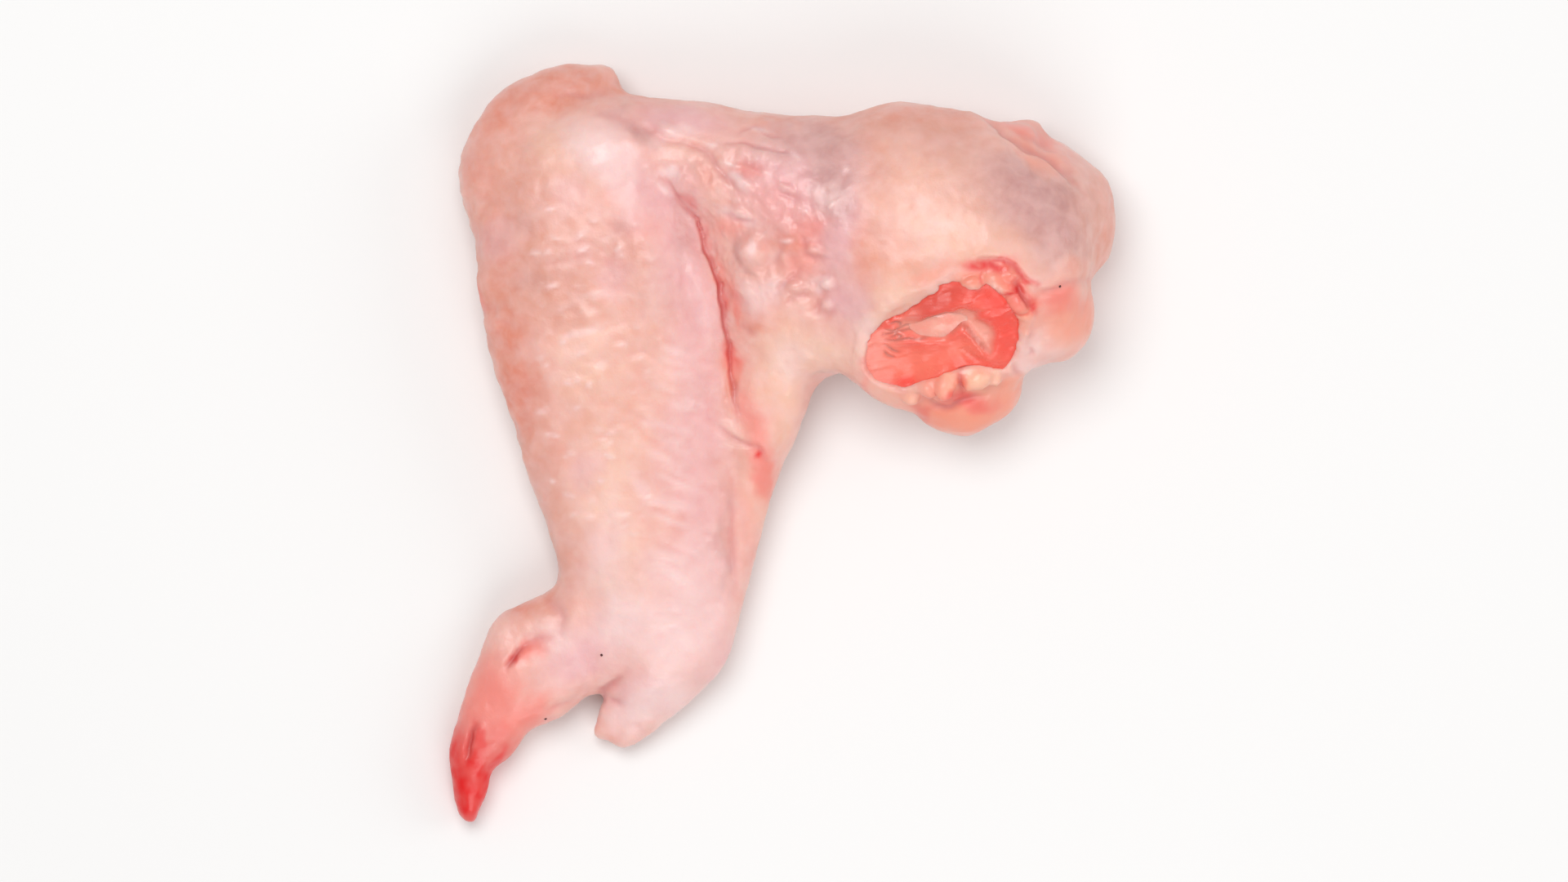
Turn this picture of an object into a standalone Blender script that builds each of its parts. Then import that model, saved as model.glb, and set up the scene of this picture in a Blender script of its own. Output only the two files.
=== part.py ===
"""Raw chicken wing, whole, lying flat with its inner side up.

Three closed solids, one inside another:
  wing_skin        the wing in its skin: drumette, elbow, forearm, web, hand and thumb, and the lobes round the cut
  drumette_muscle  the raw muscle, which fills the drumette and shows at the shoulder cut
  humerus          the upper arm bone, whose pale head shows in the middle of that muscle

The wing lies on z = 0. +X runs from the elbow towards the shoulder cut, +Y from the wrist towards the elbow.
All sizes below are in millimetres, and each plan position is measured from a point near the wing's middle.
"""

import math

import bmesh
import bpy
import numpy as np
from mathutils import Matrix, Vector

MM = 0.001


def heading(degrees):
    """The direction in plan, anticlockwise from +X."""
    turn = math.radians(degrees)
    return Vector((math.cos(turn), math.sin(turn)))


# Bones in plan
ELBOW = Vector((-31.0, 45.0))
UPPER_ARM_LENGTH, UPPER_ARM_ANGLE = 62.0, -13.0
ULNA_LENGTH, ULNA_ANGLE = 76.0, -80.5
WRIST = ELBOW + heading(ULNA_ANGLE) * ULNA_LENGTH
HAND_LENGTH, HAND_ANGLE = 36.5, -126.0
THUMB_LENGTH, THUMB_ANGLE = 15.0, -126.0

# Widest flesh on each length
FOREARM_WIDTH, FOREARM_HEIGHT = 37.5, 19.0
RADIUS_LENGTH, RADIUS_WIDTH, RADIUS_HEIGHT = 66.0, 14.0, 15.0
DRUMETTE_WIDTH, DRUMETTE_HEIGHT = 41.0, 30.0
WEB_LENGTH, WEB_WIDTH, WEB_HEIGHT = 66.0, 18.0, 11.0
HAND_WIDTH, HAND_HEIGHT = 21.0, 11.0
THUMB_WIDTH, THUMB_HEIGHT = 15.0, 8.5

# Shoulder cut: an oval that looks up and towards the wrist
CUT_MIDDLE = Vector((24.2, 16.6, 22.6))
CUT_FACES = Vector((0.05, -0.52, 0.85)).normalized()
CUT_TURN = 21.0
CUT_HALF_LENGTH, CUT_HALF_WIDTH = 12.6, 8.6
MUSCLE_SUNK = 0.9
BONE_PROUD = 0.7

# Gap between a solid and the one that it lies in
FIT_GAP = 0.35

# Fineness of the surfaces
RING_POINTS = 12
CAGE_LEVELS = 2
FUSE_VOXEL, CORE_VOXEL = 0.9, 0.9
SKIN_TRIANGLES, MUSCLE_TRIANGLES, BONE_TRIANGLES = 7600, 1500, 500

# Subdivision pulls a ring of RING_POINTS in by this much
RING_PULL = (4 + 2 * math.cos(math.tau / RING_POINTS)) / 6

# Creases in the upper side: the route in plan, the half width and the depth
CREASES = {
    "under_forearm_muscle": ([(-19.5, 41.0), (-14.0, 34.4), (-10.6, 26.7), (-9.0, 18.6), (-7.4, 8.0)], 1.7, 2.4),
    "along_web": ([(-7.4, 8.0), (-7.0, -2.0), (-8.2, -12.0), (-8.6, -22.0)], 1.6, 0.9),
    "elbow_to_armpit": ([(-30.0, 50.0), (-21.6, 48.0), (-12.0, 44.4), (-6.0, 40.6)], 1.8, 1.1),
    "behind_shoulder": ([(31.0, 50.6), (36.6, 46.0), (42.6, 41.0), (44.4, 36.4)], 1.6, 1.5),
    "hand_pocket": ([(-42.0, -31.0), (-38.0, -30.0), (-36.4, -33.0)], 1.5, 1.6),
    "wrist": ([(-28.0, -39.4), (-25.4, -36.0), (-24.6, -31.6)], 1.4, 1.2),
    "low_lobe": ([(19.0, 8.4), (24.0, 10.6), (30.0, 11.2), (35.0, 13.4)], 1.5, 0.9),
}

parts = None
helpers = None
wing = None


def clear_scene():
    for obj in list(bpy.data.objects):
        bpy.data.objects.remove(obj)


def new_collection(name):
    made = bpy.data.collections.new(name)
    bpy.context.scene.collection.children.link(made)
    return made


def new_empty(name):
    """The wing's own frame, which its parts hang from."""
    empty = bpy.data.objects.new(name, None)
    parts.objects.link(empty)
    return empty


def as_helper(obj):
    """Marks the object as a building block: it is fused into a part, and isn't one itself."""
    for held in list(obj.users_collection):
        held.objects.unlink(obj)
    helpers.objects.link(obj)
    obj.parent = wing
    obj.hide_render = True
    obj.display_type = "WIRE"
    return obj


def limb(name, start, angle, length, width, height, stations):
    """A fleshy length: oval rings along a bone, bridged into a cage and rounded by subdivision.

    Each station is (share of the length, middle's share of the width to the left, share of the width,
    share of the height, height of the middle in mm).
    """
    upright = Matrix.Rotation(math.radians(90), 4, "Y")
    bm = bmesh.new()
    rings = []
    for along, aside, wide, high, middle in stations:
        place = Matrix.Translation((along * length, aside * width, middle))
        size = Matrix.Diagonal((high * height / 2 / RING_PULL, wide * width / 2 / RING_PULL, 1.0, 1.0))
        ring = bmesh.ops.create_circle(bm, segments=RING_POINTS, radius=1.0, matrix=place @ upright @ size)
        rings.append(set(ring["verts"]))
    loops = [[edge for edge in bm.edges if set(edge.verts) <= ring] for ring in rings]
    for near, far in zip(loops, loops[1:]):
        bmesh.ops.bridge_loops(bm, edges=near + far)
    for end in (loops[0], loops[-1]):
        bmesh.ops.contextual_create(bm, geom=end)
    bmesh.ops.recalc_face_normals(bm, faces=bm.faces)
    bmesh.ops.scale(bm, vec=(MM, MM, MM), verts=bm.verts)
    mesh = bpy.data.meshes.new(name)
    bm.to_mesh(mesh)
    bm.free()
    obj = as_helper(bpy.data.objects.new(name, mesh))
    obj.location = start.to_3d() * MM
    obj.rotation_euler = (0.0, 0.0, math.radians(angle))
    rounding = obj.modifiers.new("Rounding", "SUBSURF")
    rounding.levels = rounding.render_levels = CAGE_LEVELS
    return obj


def lump(name, middle, half_sizes, turn=0.0, tilt=0.0):
    """A rounded lump: a sphere stretched to its half sizes, tilted, and turned in plan."""
    bpy.ops.mesh.primitive_uv_sphere_add(segments=24, ring_count=14, radius=1.0)
    obj = as_helper(bpy.context.object)
    obj.name = name
    obj.location = Vector(middle) * MM
    obj.rotation_euler = (0.0, math.radians(tilt), math.radians(turn))
    obj.scale = Vector(half_sizes) * MM
    return obj


def face_like_cut(obj, depth, extra_turn=0.0):
    """Sets the object square to the shoulder cut, the given depth below it, with its X along the oval."""
    along = heading(CUT_TURN + extra_turn).to_3d()
    x_axis = (along - CUT_FACES * along.dot(CUT_FACES)).normalized()
    y_axis = CUT_FACES.cross(x_axis)
    obj.rotation_euler = Matrix((x_axis, y_axis, CUT_FACES)).transposed().to_euler()
    obj.location = (CUT_MIDDLE - CUT_FACES * depth) * MM
    return obj


def forearm():
    """Radius and ulna with their flesh, widest below the elbow and slim at the wrist."""
    return [
        limb("forearm", ELBOW, ULNA_ANGLE, ULNA_LENGTH, FOREARM_WIDTH, FOREARM_HEIGHT, [
            (-0.10, 0.06, 0.56, 0.62, 8.2),
            (-0.02, 0.05, 0.87, 0.93, 8.8),
            (0.12, 0.00, 1.00, 1.00, 8.8),
            (0.34, -0.02, 1.03, 1.00, 8.4),
            (0.55, 0.00, 0.92, 0.92, 7.8),
            (0.75, 0.00, 0.80, 0.82, 7.0),
            (0.92, 0.01, 0.71, 0.74, 6.4),
            (1.04, -0.03, 0.66, 0.68, 5.8),
            (1.12, -0.04, 0.44, 0.50, 5.0),
        ]),
        limb("radius_flesh", ELBOW + Vector((5.4, -2.0)), -78.5, RADIUS_LENGTH, RADIUS_WIDTH, RADIUS_HEIGHT, [
            (-0.10, -0.10, 0.60, 0.70, 11.4),
            (0.10, 0.05, 1.00, 1.00, 12.0),
            (0.35, 0.14, 1.10, 1.00, 11.6),
            (0.60, 0.06, 1.00, 0.88, 9.9),
            (0.85, -0.18, 0.85, 0.72, 8.0),
            (1.02, -0.42, 0.70, 0.60, 6.8),
        ]),
        lump("elbow_joint", (-27.0, 44.5, 9.6), (10.5, 9.5, 9.6)),
        lump("elbow_skin", (-34.5, 49.2, 6.4), (12.4, 9.4, 6.8), turn=12.0),
        lump("elbow_bulge", (-38.2, 40.6, 7.6), (11.5, 13.6, 7.4), turn=6.0),
    ]


def drumette():
    """The humerus with its flesh: slim at the elbow, heavy at the shoulder."""
    return [
        limb("upper_arm", ELBOW, UPPER_ARM_ANGLE, UPPER_ARM_LENGTH, DRUMETTE_WIDTH, DRUMETTE_HEIGHT, [
            (-0.08, 0.04, 0.34, 0.48, 8.4),
            (0.12, 0.06, 0.40, 0.58, 9.6),
            (0.34, 0.04, 0.48, 0.68, 11.0),
            (0.54, -0.01, 0.64, 0.80, 12.4),
            (0.72, -0.01, 0.88, 0.92, 13.4),
            (0.90, -0.01, 0.97, 0.98, 13.9),
            (1.06, -0.02, 0.94, 0.98, 13.9),
            (1.20, -0.02, 0.80, 0.88, 13.0),
            (1.30, -0.02, 0.50, 0.62, 12.0),
        ]),
        lump("shoulder_flesh", (25.0, 19.5, 12.8), (19.5, 14.0, 11.6), turn=16.0),
        lump("armpit_skin", (1.4, 27.6, 10.8), (18.4, 18.0, 10.4), turn=-25.0),
    ]


def web():
    """The fold of skin that fills the inside of the elbow, from the drumette down to the wrist."""
    return [
        limb("web", Vector((-11.0, 36.0)), -84.0, WEB_LENGTH, WEB_WIDTH, WEB_HEIGHT, [
            (-0.04, 0.10, 0.60, 0.90, 8.8),
            (0.14, 0.28, 1.04, 1.12, 9.2),
            (0.32, 0.36, 1.10, 1.10, 8.6),
            (0.46, 0.22, 0.94, 1.00, 7.4),
            (0.60, 0.01, 0.76, 0.88, 6.6),
            (0.76, -0.17, 0.62, 0.80, 6.0),
            (0.92, -0.33, 0.54, 0.74, 5.6),
            (1.04, -0.46, 0.44, 0.62, 5.2),
        ]),
        lump("web_root", (-2.6, 13.0, 8.8), (8.6, 21.0, 6.9), turn=-14.0),
    ]


def shoulder_trim():
    """What hangs round the cut: the roll of skin behind the shoulder and the lobes of fat below it."""
    return [
        lump("back_roll", (41.6, 37.6, 9.4), (13.0, 7.1, 8.6), turn=-54.0),
        lump("back_flap", (33.4, 45.0, 8.6), (6.6, 4.4, 7.4), turn=-12.0),
        lump("lobe_right", (39.4, 19.8, 12.4), (8.0, 8.4, 8.4), turn=-25.0),
        lump("lobe_low", (27.8, 8.6, 9.6), (8.7, 7.3, 7.2), turn=10.0),
        lump("lobe_left", (16.0, 13.2, 9.8), (6.4, 6.2, 6.8), turn=-30.0),
    ]


def rim_beads():
    """Beads of fat on the rim of the cut: two below it, and a string above its right end."""
    places = [(25.8, 9.2, 15.6), (29.4, 9.6, 15.8)]
    places += [(27.6, 27.4, 26.2), (31.4, 26.2, 25.4), (34.4, 23.8, 23.6), (36.6, 20.6, 21.0)]
    return [lump(f"fat_bead_{n}", place, (2.1, 2.0, 1.9)) for n, place in enumerate(places, 1)]


def hand():
    """The hand folded back from the wrist to its point, with the fold of skin behind the wrist."""
    return [
        limb("hand", WRIST + Vector((-9.0, 2.0)), HAND_ANGLE, HAND_LENGTH, HAND_WIDTH, HAND_HEIGHT, [
            (-0.22, -0.02, 0.66, 0.80, 6.0),
            (0.00, -0.14, 0.86, 1.00, 5.6),
            (0.18, -0.21, 0.89, 0.98, 5.2),
            (0.36, -0.26, 0.82, 0.94, 4.8),
            (0.60, -0.27, 0.57, 0.84, 4.3),
            (0.80, -0.20, 0.42, 0.74, 3.8),
            (0.93, -0.06, 0.32, 0.62, 3.3),
            (1.01, 0.00, 0.18, 0.44, 2.8),
        ]),
        lump("wrist_fold", (-39.2, -29.2, 4.8), (6.4, 5.4, 5.2), turn=40.0),
    ]


def thumb():
    """The thumb: a short blade along the front of the wrist, down to its cut point."""
    return [
        lump("wrist_front", (-19.2, -29.8, 6.0), (9.2, 11.4, 6.6), turn=-30.0),
        limb("thumb", Vector((-18.6, -33.4)), THUMB_ANGLE, THUMB_LENGTH, THUMB_WIDTH, THUMB_HEIGHT, [
            (-0.30, 0.02, 1.04, 1.04, 4.9),
            (0.20, 0.04, 0.96, 0.92, 4.3),
            (0.60, 0.04, 0.68, 0.72, 3.6),
            (0.88, 0.00, 0.46, 0.54, 3.0),
            (1.03, -0.04, 0.30, 0.34, 2.8),
        ]),
    ]


def muscle_core():
    """The muscle: a dome that shows in the cut, and a belly that runs down the drumette to the elbow."""
    dome_height, root_height = 6.5, 9.0
    dome = lump("muscle_dome", (0, 0, 0), (15.5, 12.5, dome_height))
    root = lump("muscle_root", (0, 0, 0), (13.5, 10.0, root_height))
    return [
        face_like_cut(dome, MUSCLE_SUNK + dome_height),
        face_like_cut(root, MUSCLE_SUNK + root_height + 2.0),
        limb("muscle_belly", ELBOW, UPPER_ARM_ANGLE, UPPER_ARM_LENGTH, DRUMETTE_WIDTH, DRUMETTE_HEIGHT, [
            (0.16, 0.04, 0.16, 0.24, 9.2),
            (0.34, 0.03, 0.26, 0.36, 10.4),
            (0.54, -0.02, 0.42, 0.48, 11.6),
            (0.74, -0.08, 0.56, 0.58, 12.6),
            (0.92, -0.13, 0.56, 0.58, 12.8),
            (1.04, -0.15, 0.36, 0.40, 12.8),
        ]),
    ]


def bone_core():
    """The humerus: a slim shaft from inside the elbow, and the broad head that shows in the cut."""
    head_height = 3.4
    head_depth = MUSCLE_SUNK - BONE_PROUD + head_height
    head = face_like_cut(lump("bone_head", (0, 0, 0), (7.6, 3.0, head_height)), head_depth, extra_turn=-6.0)
    under_head = CUT_MIDDLE - CUT_FACES * (head_depth + 2.0)
    near_elbow = (ELBOW + heading(UPPER_ARM_ANGLE) * 14.0).to_3d() + Vector((0.0, 0.8, 9.6))
    route = [
        (near_elbow, 1.9),
        (near_elbow.lerp(under_head, 0.35) + Vector((1.0, 2.6, 0.0)), 2.0),
        (near_elbow.lerp(under_head, 0.65) + Vector((1.0, 2.0, 0.0)), 2.3),
        (CUT_MIDDLE - CUT_FACES * 12.0 + Vector((-3.0, 1.0, -1.0)), 2.8),
        (under_head, 3.4),
    ]
    curve = bpy.data.curves.new("bone_shaft", "CURVE")
    curve.dimensions = "3D"
    curve.bevel_depth = MM
    curve.bevel_resolution = 3
    curve.use_fill_caps = True
    line = curve.splines.new("NURBS")
    line.points.add(len(route) - 1)
    line.use_endpoint_u = True
    line.order_u = 4
    for point, (place, radius) in zip(line.points, route):
        point.co = (*(place * MM), 1.0)
        point.radius = radius
    return [as_helper(bpy.data.objects.new("bone_shaft", curve)), head]


def evaluated_mesh(obj):
    """The object's mesh with its modifiers applied, in the wing's frame."""
    bpy.context.view_layer.update()
    graph = bpy.context.evaluated_depsgraph_get()
    mesh = bpy.data.meshes.new_from_object(obj.evaluated_get(graph))
    mesh.transform(obj.matrix_world)
    return mesh


def fuse(name, pieces, voxel, softening):
    """One closed surface round overlapping pieces, with the valleys between them softened."""
    bm = bmesh.new()
    for piece in pieces:
        mesh = evaluated_mesh(piece)
        bm.from_mesh(mesh)
        bpy.data.meshes.remove(mesh)
    bmesh.ops.remove_doubles(bm, verts=bm.verts, dist=0.001 * MM)
    joined = bpy.data.meshes.new(name)
    bm.to_mesh(joined)
    bm.free()
    obj = as_helper(bpy.data.objects.new(name, joined))
    wrap = obj.modifiers.new("Wrap", "REMESH")
    wrap.mode = "VOXEL"
    wrap.voxel_size = voxel * MM
    soften = obj.modifiers.new("Soften", "SMOOTH")
    soften.factor = 0.5
    soften.iterations = softening
    obj.data = evaluated_mesh(obj)
    obj.modifiers.clear()
    return obj


def press_creases(obj):
    """Presses the creases into the upper side: each fades out at its ends and across its width."""
    mesh = obj.data
    count = len(mesh.vertices)
    at = np.empty(count * 3)
    mesh.vertices.foreach_get("co", at)
    at = at.reshape(-1, 3) / MM
    up = np.array([v.normal.z for v in mesh.vertices])
    sunk = np.zeros(count)
    for route, half_width, depth in CREASES.values():
        points = np.array(route)
        reach = np.linalg.norm(np.diff(points, axis=0), axis=1)
        passed = np.concatenate(([0.0], np.cumsum(reach)))
        pressed = np.zeros(count)
        for start, end, length, before in zip(points, points[1:], reach, passed):
            share = np.clip((at[:, :2] - start) @ (end - start) / length**2, 0.0, 1.0)
            gap = np.linalg.norm(at[:, :2] - start - share[:, None] * (end - start), axis=1)
            along = (before + share * length) / passed[-1]
            fade = np.sin(np.pi * np.clip(along, 0.04, 0.96)) ** 0.6
            pressed = np.maximum(pressed, depth * fade * np.exp(-((gap / half_width) ** 2)))
        sunk = np.maximum(sunk, pressed)
    at[:, 2] -= sunk * np.clip(up * 3.0, 0.0, 1.0)
    mesh.vertices.foreach_set("co", (at * MM).ravel())
    mesh.update()


def keep_triangles(obj, wanted):
    """Thins the mesh to about the wanted number of triangles, keeping its form."""
    obj.data.calc_loop_triangles()
    thin = obj.modifiers.new("Thin", "DECIMATE")
    thin.ratio = wanted / len(obj.data.loop_triangles)
    obj.data = evaluated_mesh(obj)
    obj.modifiers.clear()


def cut_away(obj, cutter):
    """Takes the cutter's volume out of the object."""
    step = obj.modifiers.new("Cut", "BOOLEAN")
    step.operation = "DIFFERENCE"
    step.object = cutter
    step.solver = "EXACT"
    obj.data = evaluated_mesh(obj)
    obj.modifiers.clear()


def seat_for(obj):
    """A copy of the object, larger by the fit gap all round, to cut its seat with."""
    seat = as_helper(bpy.data.objects.new(obj.name + "_seat", obj.data.copy()))
    grow = seat.modifiers.new("Grow", "DISPLACE")
    grow.mid_level = 0.0
    grow.strength = FIT_GAP * MM
    return seat


def mouth_of_cut():
    """The oval opening in the skin over the muscle."""
    below, above = 4.2, 9.0
    bpy.ops.mesh.primitive_cylinder_add(vertices=44, radius=1.0, depth=1.0)
    mouth = as_helper(bpy.context.object)
    mouth.name = "cut_mouth"
    mouth.scale = Vector((CUT_HALF_LENGTH, CUT_HALF_WIDTH, below + above)) * MM
    return face_like_cut(mouth, (below - above) / 2)


def rest_on_table(obj):
    """Cuts the underside flat at z = 0, where the soft flesh spreads on what it lies on."""
    bm = bmesh.new()
    bm.from_mesh(obj.data)
    whole = bm.verts[:] + bm.edges[:] + bm.faces[:]
    cut = bmesh.ops.bisect_plane(
        bm, geom=whole, plane_co=(0, 0, 0), plane_no=(0, 0, 1), clear_inner=True, dist=0.02 * MM
    )
    rim = [edge for edge in cut["geom_cut"] if isinstance(edge, bmesh.types.BMEdge)]
    bmesh.ops.holes_fill(bm, edges=rim)
    bmesh.ops.triangulate(bm, faces=[face for face in bm.faces if len(face.verts) > 4])
    bm.to_mesh(obj.data)
    bm.free()


def flesh_material(name, colour, roughness):
    material = bpy.data.materials.new(name)
    material.use_nodes = True
    shader = material.node_tree.nodes["Principled BSDF"]
    shader.inputs["Base Color"].default_value = (*colour, 1.0)
    shader.inputs["Roughness"].default_value = roughness
    shader.inputs["Metallic"].default_value = 0.0
    return material


def finish_part(obj, name, material):
    """Makes the object one of the wing's parts."""
    helpers.objects.unlink(obj)
    parts.objects.link(obj)
    obj.hide_render = False
    obj.display_type = "TEXTURED"
    obj.name = name
    obj.data.name = name
    obj.data.materials.clear()
    obj.data.materials.append(material)
    obj.data.shade_smooth()


def centre_in_plan(objects):
    """Moves the wing's frame so that the origin is under the middle of the wing's box."""
    corners = [v.co for obj in objects for v in obj.data.vertices]
    low = Vector(min(c[i] for c in corners) for i in range(3))
    high = Vector(max(c[i] for c in corners) for i in range(3))
    middle = (low + high) / 2
    wing.location = (-middle.x, -middle.y, 0.0)
    print("plan shift in mm", round(-middle.x / MM, 3), round(-middle.y / MM, 3))


def build():
    body = fuse("body_form", forearm() + drumette() + web() + hand() + thumb(), FUSE_VOXEL, softening=16)
    skin = fuse("skin_form", [body] + shoulder_trim() + rim_beads(), FUSE_VOXEL, softening=7)
    press_creases(skin)
    rest_on_table(skin)
    keep_triangles(skin, SKIN_TRIANGLES)

    muscle = fuse("muscle_form", muscle_core(), CORE_VOXEL, softening=5)
    keep_triangles(muscle, MUSCLE_TRIANGLES)
    bone = fuse("bone_form", bone_core(), CORE_VOXEL, softening=2)
    keep_triangles(bone, BONE_TRIANGLES)

    cut_away(skin, seat_for(muscle))
    cut_away(skin, mouth_of_cut())
    cut_away(muscle, seat_for(bone))

    finish_part(skin, "wing_skin", flesh_material("chicken_skin", (0.86, 0.52, 0.44), 0.42))
    finish_part(muscle, "drumette_muscle", flesh_material("raw_muscle", (0.90, 0.17, 0.12), 0.35))
    finish_part(bone, "humerus", flesh_material("cartilage", (0.93, 0.55, 0.45), 0.3))
    for obj in list(helpers.objects):
        bpy.data.objects.remove(obj)
    centre_in_plan([skin, muscle, bone])


clear_scene()
parts = new_collection("chicken_wing")
helpers = new_collection("building_blocks")
wing = new_empty("wing")
build()
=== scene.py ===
# %% [markdown]
# # A raw chicken wing
#
# A whole raw wing lies on a pale table with its inner side up. It is folded at the elbow, so the heavy drumette
# runs to the right and the forearm runs down to the wrist and the pointed hand. Everything that shows is soft,
# moist and uneven, so most of this scene is relief and colour, laid on over a form that is already right.

# %% Load the imported wing
import math

import bmesh
import bpy
import numpy as np
from mathutils import Matrix, Vector, kdtree, noise


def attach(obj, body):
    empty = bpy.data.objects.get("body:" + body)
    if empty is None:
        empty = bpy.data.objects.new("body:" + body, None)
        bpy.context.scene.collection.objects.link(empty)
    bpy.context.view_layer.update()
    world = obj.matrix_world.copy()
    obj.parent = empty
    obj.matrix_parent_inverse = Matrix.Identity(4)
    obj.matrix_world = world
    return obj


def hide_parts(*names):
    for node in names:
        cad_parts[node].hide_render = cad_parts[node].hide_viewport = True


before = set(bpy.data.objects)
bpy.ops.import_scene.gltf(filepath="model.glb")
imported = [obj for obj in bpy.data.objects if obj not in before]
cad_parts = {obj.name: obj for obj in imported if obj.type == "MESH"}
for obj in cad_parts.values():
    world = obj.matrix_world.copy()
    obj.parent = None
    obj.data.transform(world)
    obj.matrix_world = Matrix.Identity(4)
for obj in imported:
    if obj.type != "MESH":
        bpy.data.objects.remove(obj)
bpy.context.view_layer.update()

print("nodes:", sorted(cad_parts))

# %% [markdown]
# ## Millimetres and plan positions
#
# A wing is about a hand long, so its folds are thought of in millimetres here. Places are given in plan, as
# seen from above: x runs towards the shoulder and y towards the elbow. The solids were centred after they were
# made, so the same small shift is used. The shoulder's cut is a leaning oval, with its own directions.

# %% Units, and the cut's own directions
MM = 0.001
PLAN_SHIFT = np.array([0.024, -0.61, 0.0])
FOREARM_HEADING = -80.5

CUT_MIDDLE = np.array([24.2, 16.6, 22.6])
CUT_NORMAL = np.array([0.05, -0.52, 0.85]) / np.linalg.norm([0.05, -0.52, 0.85])
CUT_TURN = math.radians(21.0)
CUT_HALF_LENGTH, CUT_HALF_WIDTH = 12.6, 8.6

cut_along = np.array([math.cos(CUT_TURN), math.sin(CUT_TURN), 0.0])
CUT_X = cut_along - CUT_NORMAL * (cut_along @ CUT_NORMAL)
CUT_X /= np.linalg.norm(CUT_X)
CUT_Y = np.cross(CUT_NORMAL, CUT_X)

# %% [markdown]
# ## A mesh as rows of numbers
#
# Soft relief means moving tens of thousands of points a little. Blender hands a mesh over as one long row of
# numbers, numpy moves all of them at once, and the mesh takes them back.

# %% Read and write a mesh
def read_rows(items, field, size, kind=float):
    flat = np.empty(len(items) * size, dtype=kind)
    items.foreach_get(field, flat)
    return flat.reshape(-1, size)


def read_mesh(obj):
    """The object's points in plan millimetres, and its edges as pairs of point numbers."""
    points = read_rows(obj.data.vertices, "co", 3) / MM - PLAN_SHIFT
    return points, read_rows(obj.data.edges, "vertices", 2, np.int32)


def read_normals(obj):
    return read_rows(obj.data.vertex_normals, "vector", 3)


def write_points(obj, points):
    obj.data.vertices.foreach_set("co", ((points + PLAN_SHIFT) * MM).ravel())
    obj.data.update()


def write_mask(obj, name, values):
    """Keeps a value for each point, which a material can read by its name."""
    held = obj.data.attributes.new(name, "FLOAT", "POINT")
    held.data.foreach_set("value", np.clip(values, 0.0, 1.0).astype(np.float32))


def add_object(name, data):
    obj = bpy.data.objects.new(name, data)
    bpy.context.scene.collection.objects.link(obj)
    return obj


# %% [markdown]
# ## From a faceted solid to an even skin
#
# The solid of the wing is right in size and form, but its facets show. A voxel remesh wraps it in even little
# squares, and smoothing melts the facets. Plain smoothing would shrink the thin tip, so each step inwards is
# followed by a slightly larger step outwards.

# %% Wrap and smooth
def apply_modifier(obj, kind, **settings):
    step = obj.modifiers.new(kind.title(), kind)
    for setting, value in settings.items():
        setattr(step, setting, value)
    bpy.context.view_layer.update()
    graph = bpy.context.evaluated_depsgraph_get()
    old = obj.data
    obj.data = bpy.data.meshes.new_from_object(obj.evaluated_get(graph))
    obj.modifiers.clear()
    bpy.data.meshes.remove(old)


def wrapped_copy(name, voxel, *nodes, swell=0.0):
    """A new object with the nodes' joined form, swollen a little, in even squares of about the voxel's size."""
    joined = bmesh.new()
    for node in nodes:
        joined.from_mesh(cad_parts[node].data)
    joined.normal_update()
    for vert in joined.verts:
        vert.co += vert.normal * swell * MM
    mesh = bpy.data.meshes.new(name)
    joined.to_mesh(mesh)
    joined.free()
    obj = add_object(name, mesh)
    apply_modifier(obj, "REMESH", mode="VOXEL", voxel_size=voxel * MM)
    return obj


def relax(points, edges, share):
    """Moves each point a share of the way to the middle of its neighbours."""
    a, b = edges.T
    count = np.bincount(edges.ravel(), minlength=len(points))
    middle = np.empty_like(points)
    for k in range(3):
        middle[:, k] = np.bincount(a, points[b, k], len(points)) + np.bincount(b, points[a, k], len(points))
    return points + share * (middle / count[:, None] - points)


def smooth_keeping_volume(points, edges, rounds):
    for _ in range(rounds):
        points = relax(points, edges, 0.5)
        points = relax(points, edges, -0.52)
    return points


# %% [markdown]
# ## Brushes
#
# A sculptor works with a few strokes: a dab that swells or sinks a round area, and a line that follows a route.
# Here a dab is an oval that fades out, a route gives each point its distance to a line, and noise shakes both,
# so that no edge is clean. Its seed is set, for else this noise starts from the clock and differs each run. A
# rise and a hump turn any measure, such as a height, into a share from 0 to 1.

# %% Rises, humps, dabs, routes and unevenness
NOISE_SEED = 7
noise.seed_set(NOISE_SEED)


def rise(values, start, width):
    """0 up to the start, 1 past the width, and even between; a negative width runs the other way."""
    return np.clip((values - start) / width, 0.0, 1.0)


def hump(values, middle, width):
    """1 in the middle, fading to 0 on both sides."""
    return np.exp(-(((values - middle) / width) ** 2))


def eased(share):
    """The same share from 0 to 1, with soft ends."""
    return share**2 * (3.0 - 2.0 * share)


def shaken(points, size, amount, seed=0.0):
    """The points, each moved by smooth noise, so that strokes laid on them have uneven edges."""
    offset = Vector((seed, seed * 1.7, -seed))
    moved = [noise.noise_vector(Vector(p) / size + offset) for p in points]
    return points + amount * np.array(moved)


def ripple(points, size, seed=0.0, octaves=2):
    """Smooth noise from about -1 to 1 at each point."""
    offset = Vector((seed, -seed * 1.3, seed * 0.7))
    return np.array([noise.fractal(Vector(p) / size + offset, 1.0, 2.0, octaves) for p in points])


def dab(points, x, y, half_length, half_width=None, turn=0.0):
    """1 in the middle of an oval in plan, and fading to 0 across its edge."""
    half_width = half_width or half_length
    c, s = math.cos(math.radians(turn)), math.sin(math.radians(turn))
    dx, dy = points[:, 0] - x, points[:, 1] - y
    far = ((dx * c + dy * s) / half_length) ** 2 + ((dy * c - dx * s) / half_width) ** 2
    return np.exp(-(far**1.5))


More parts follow.
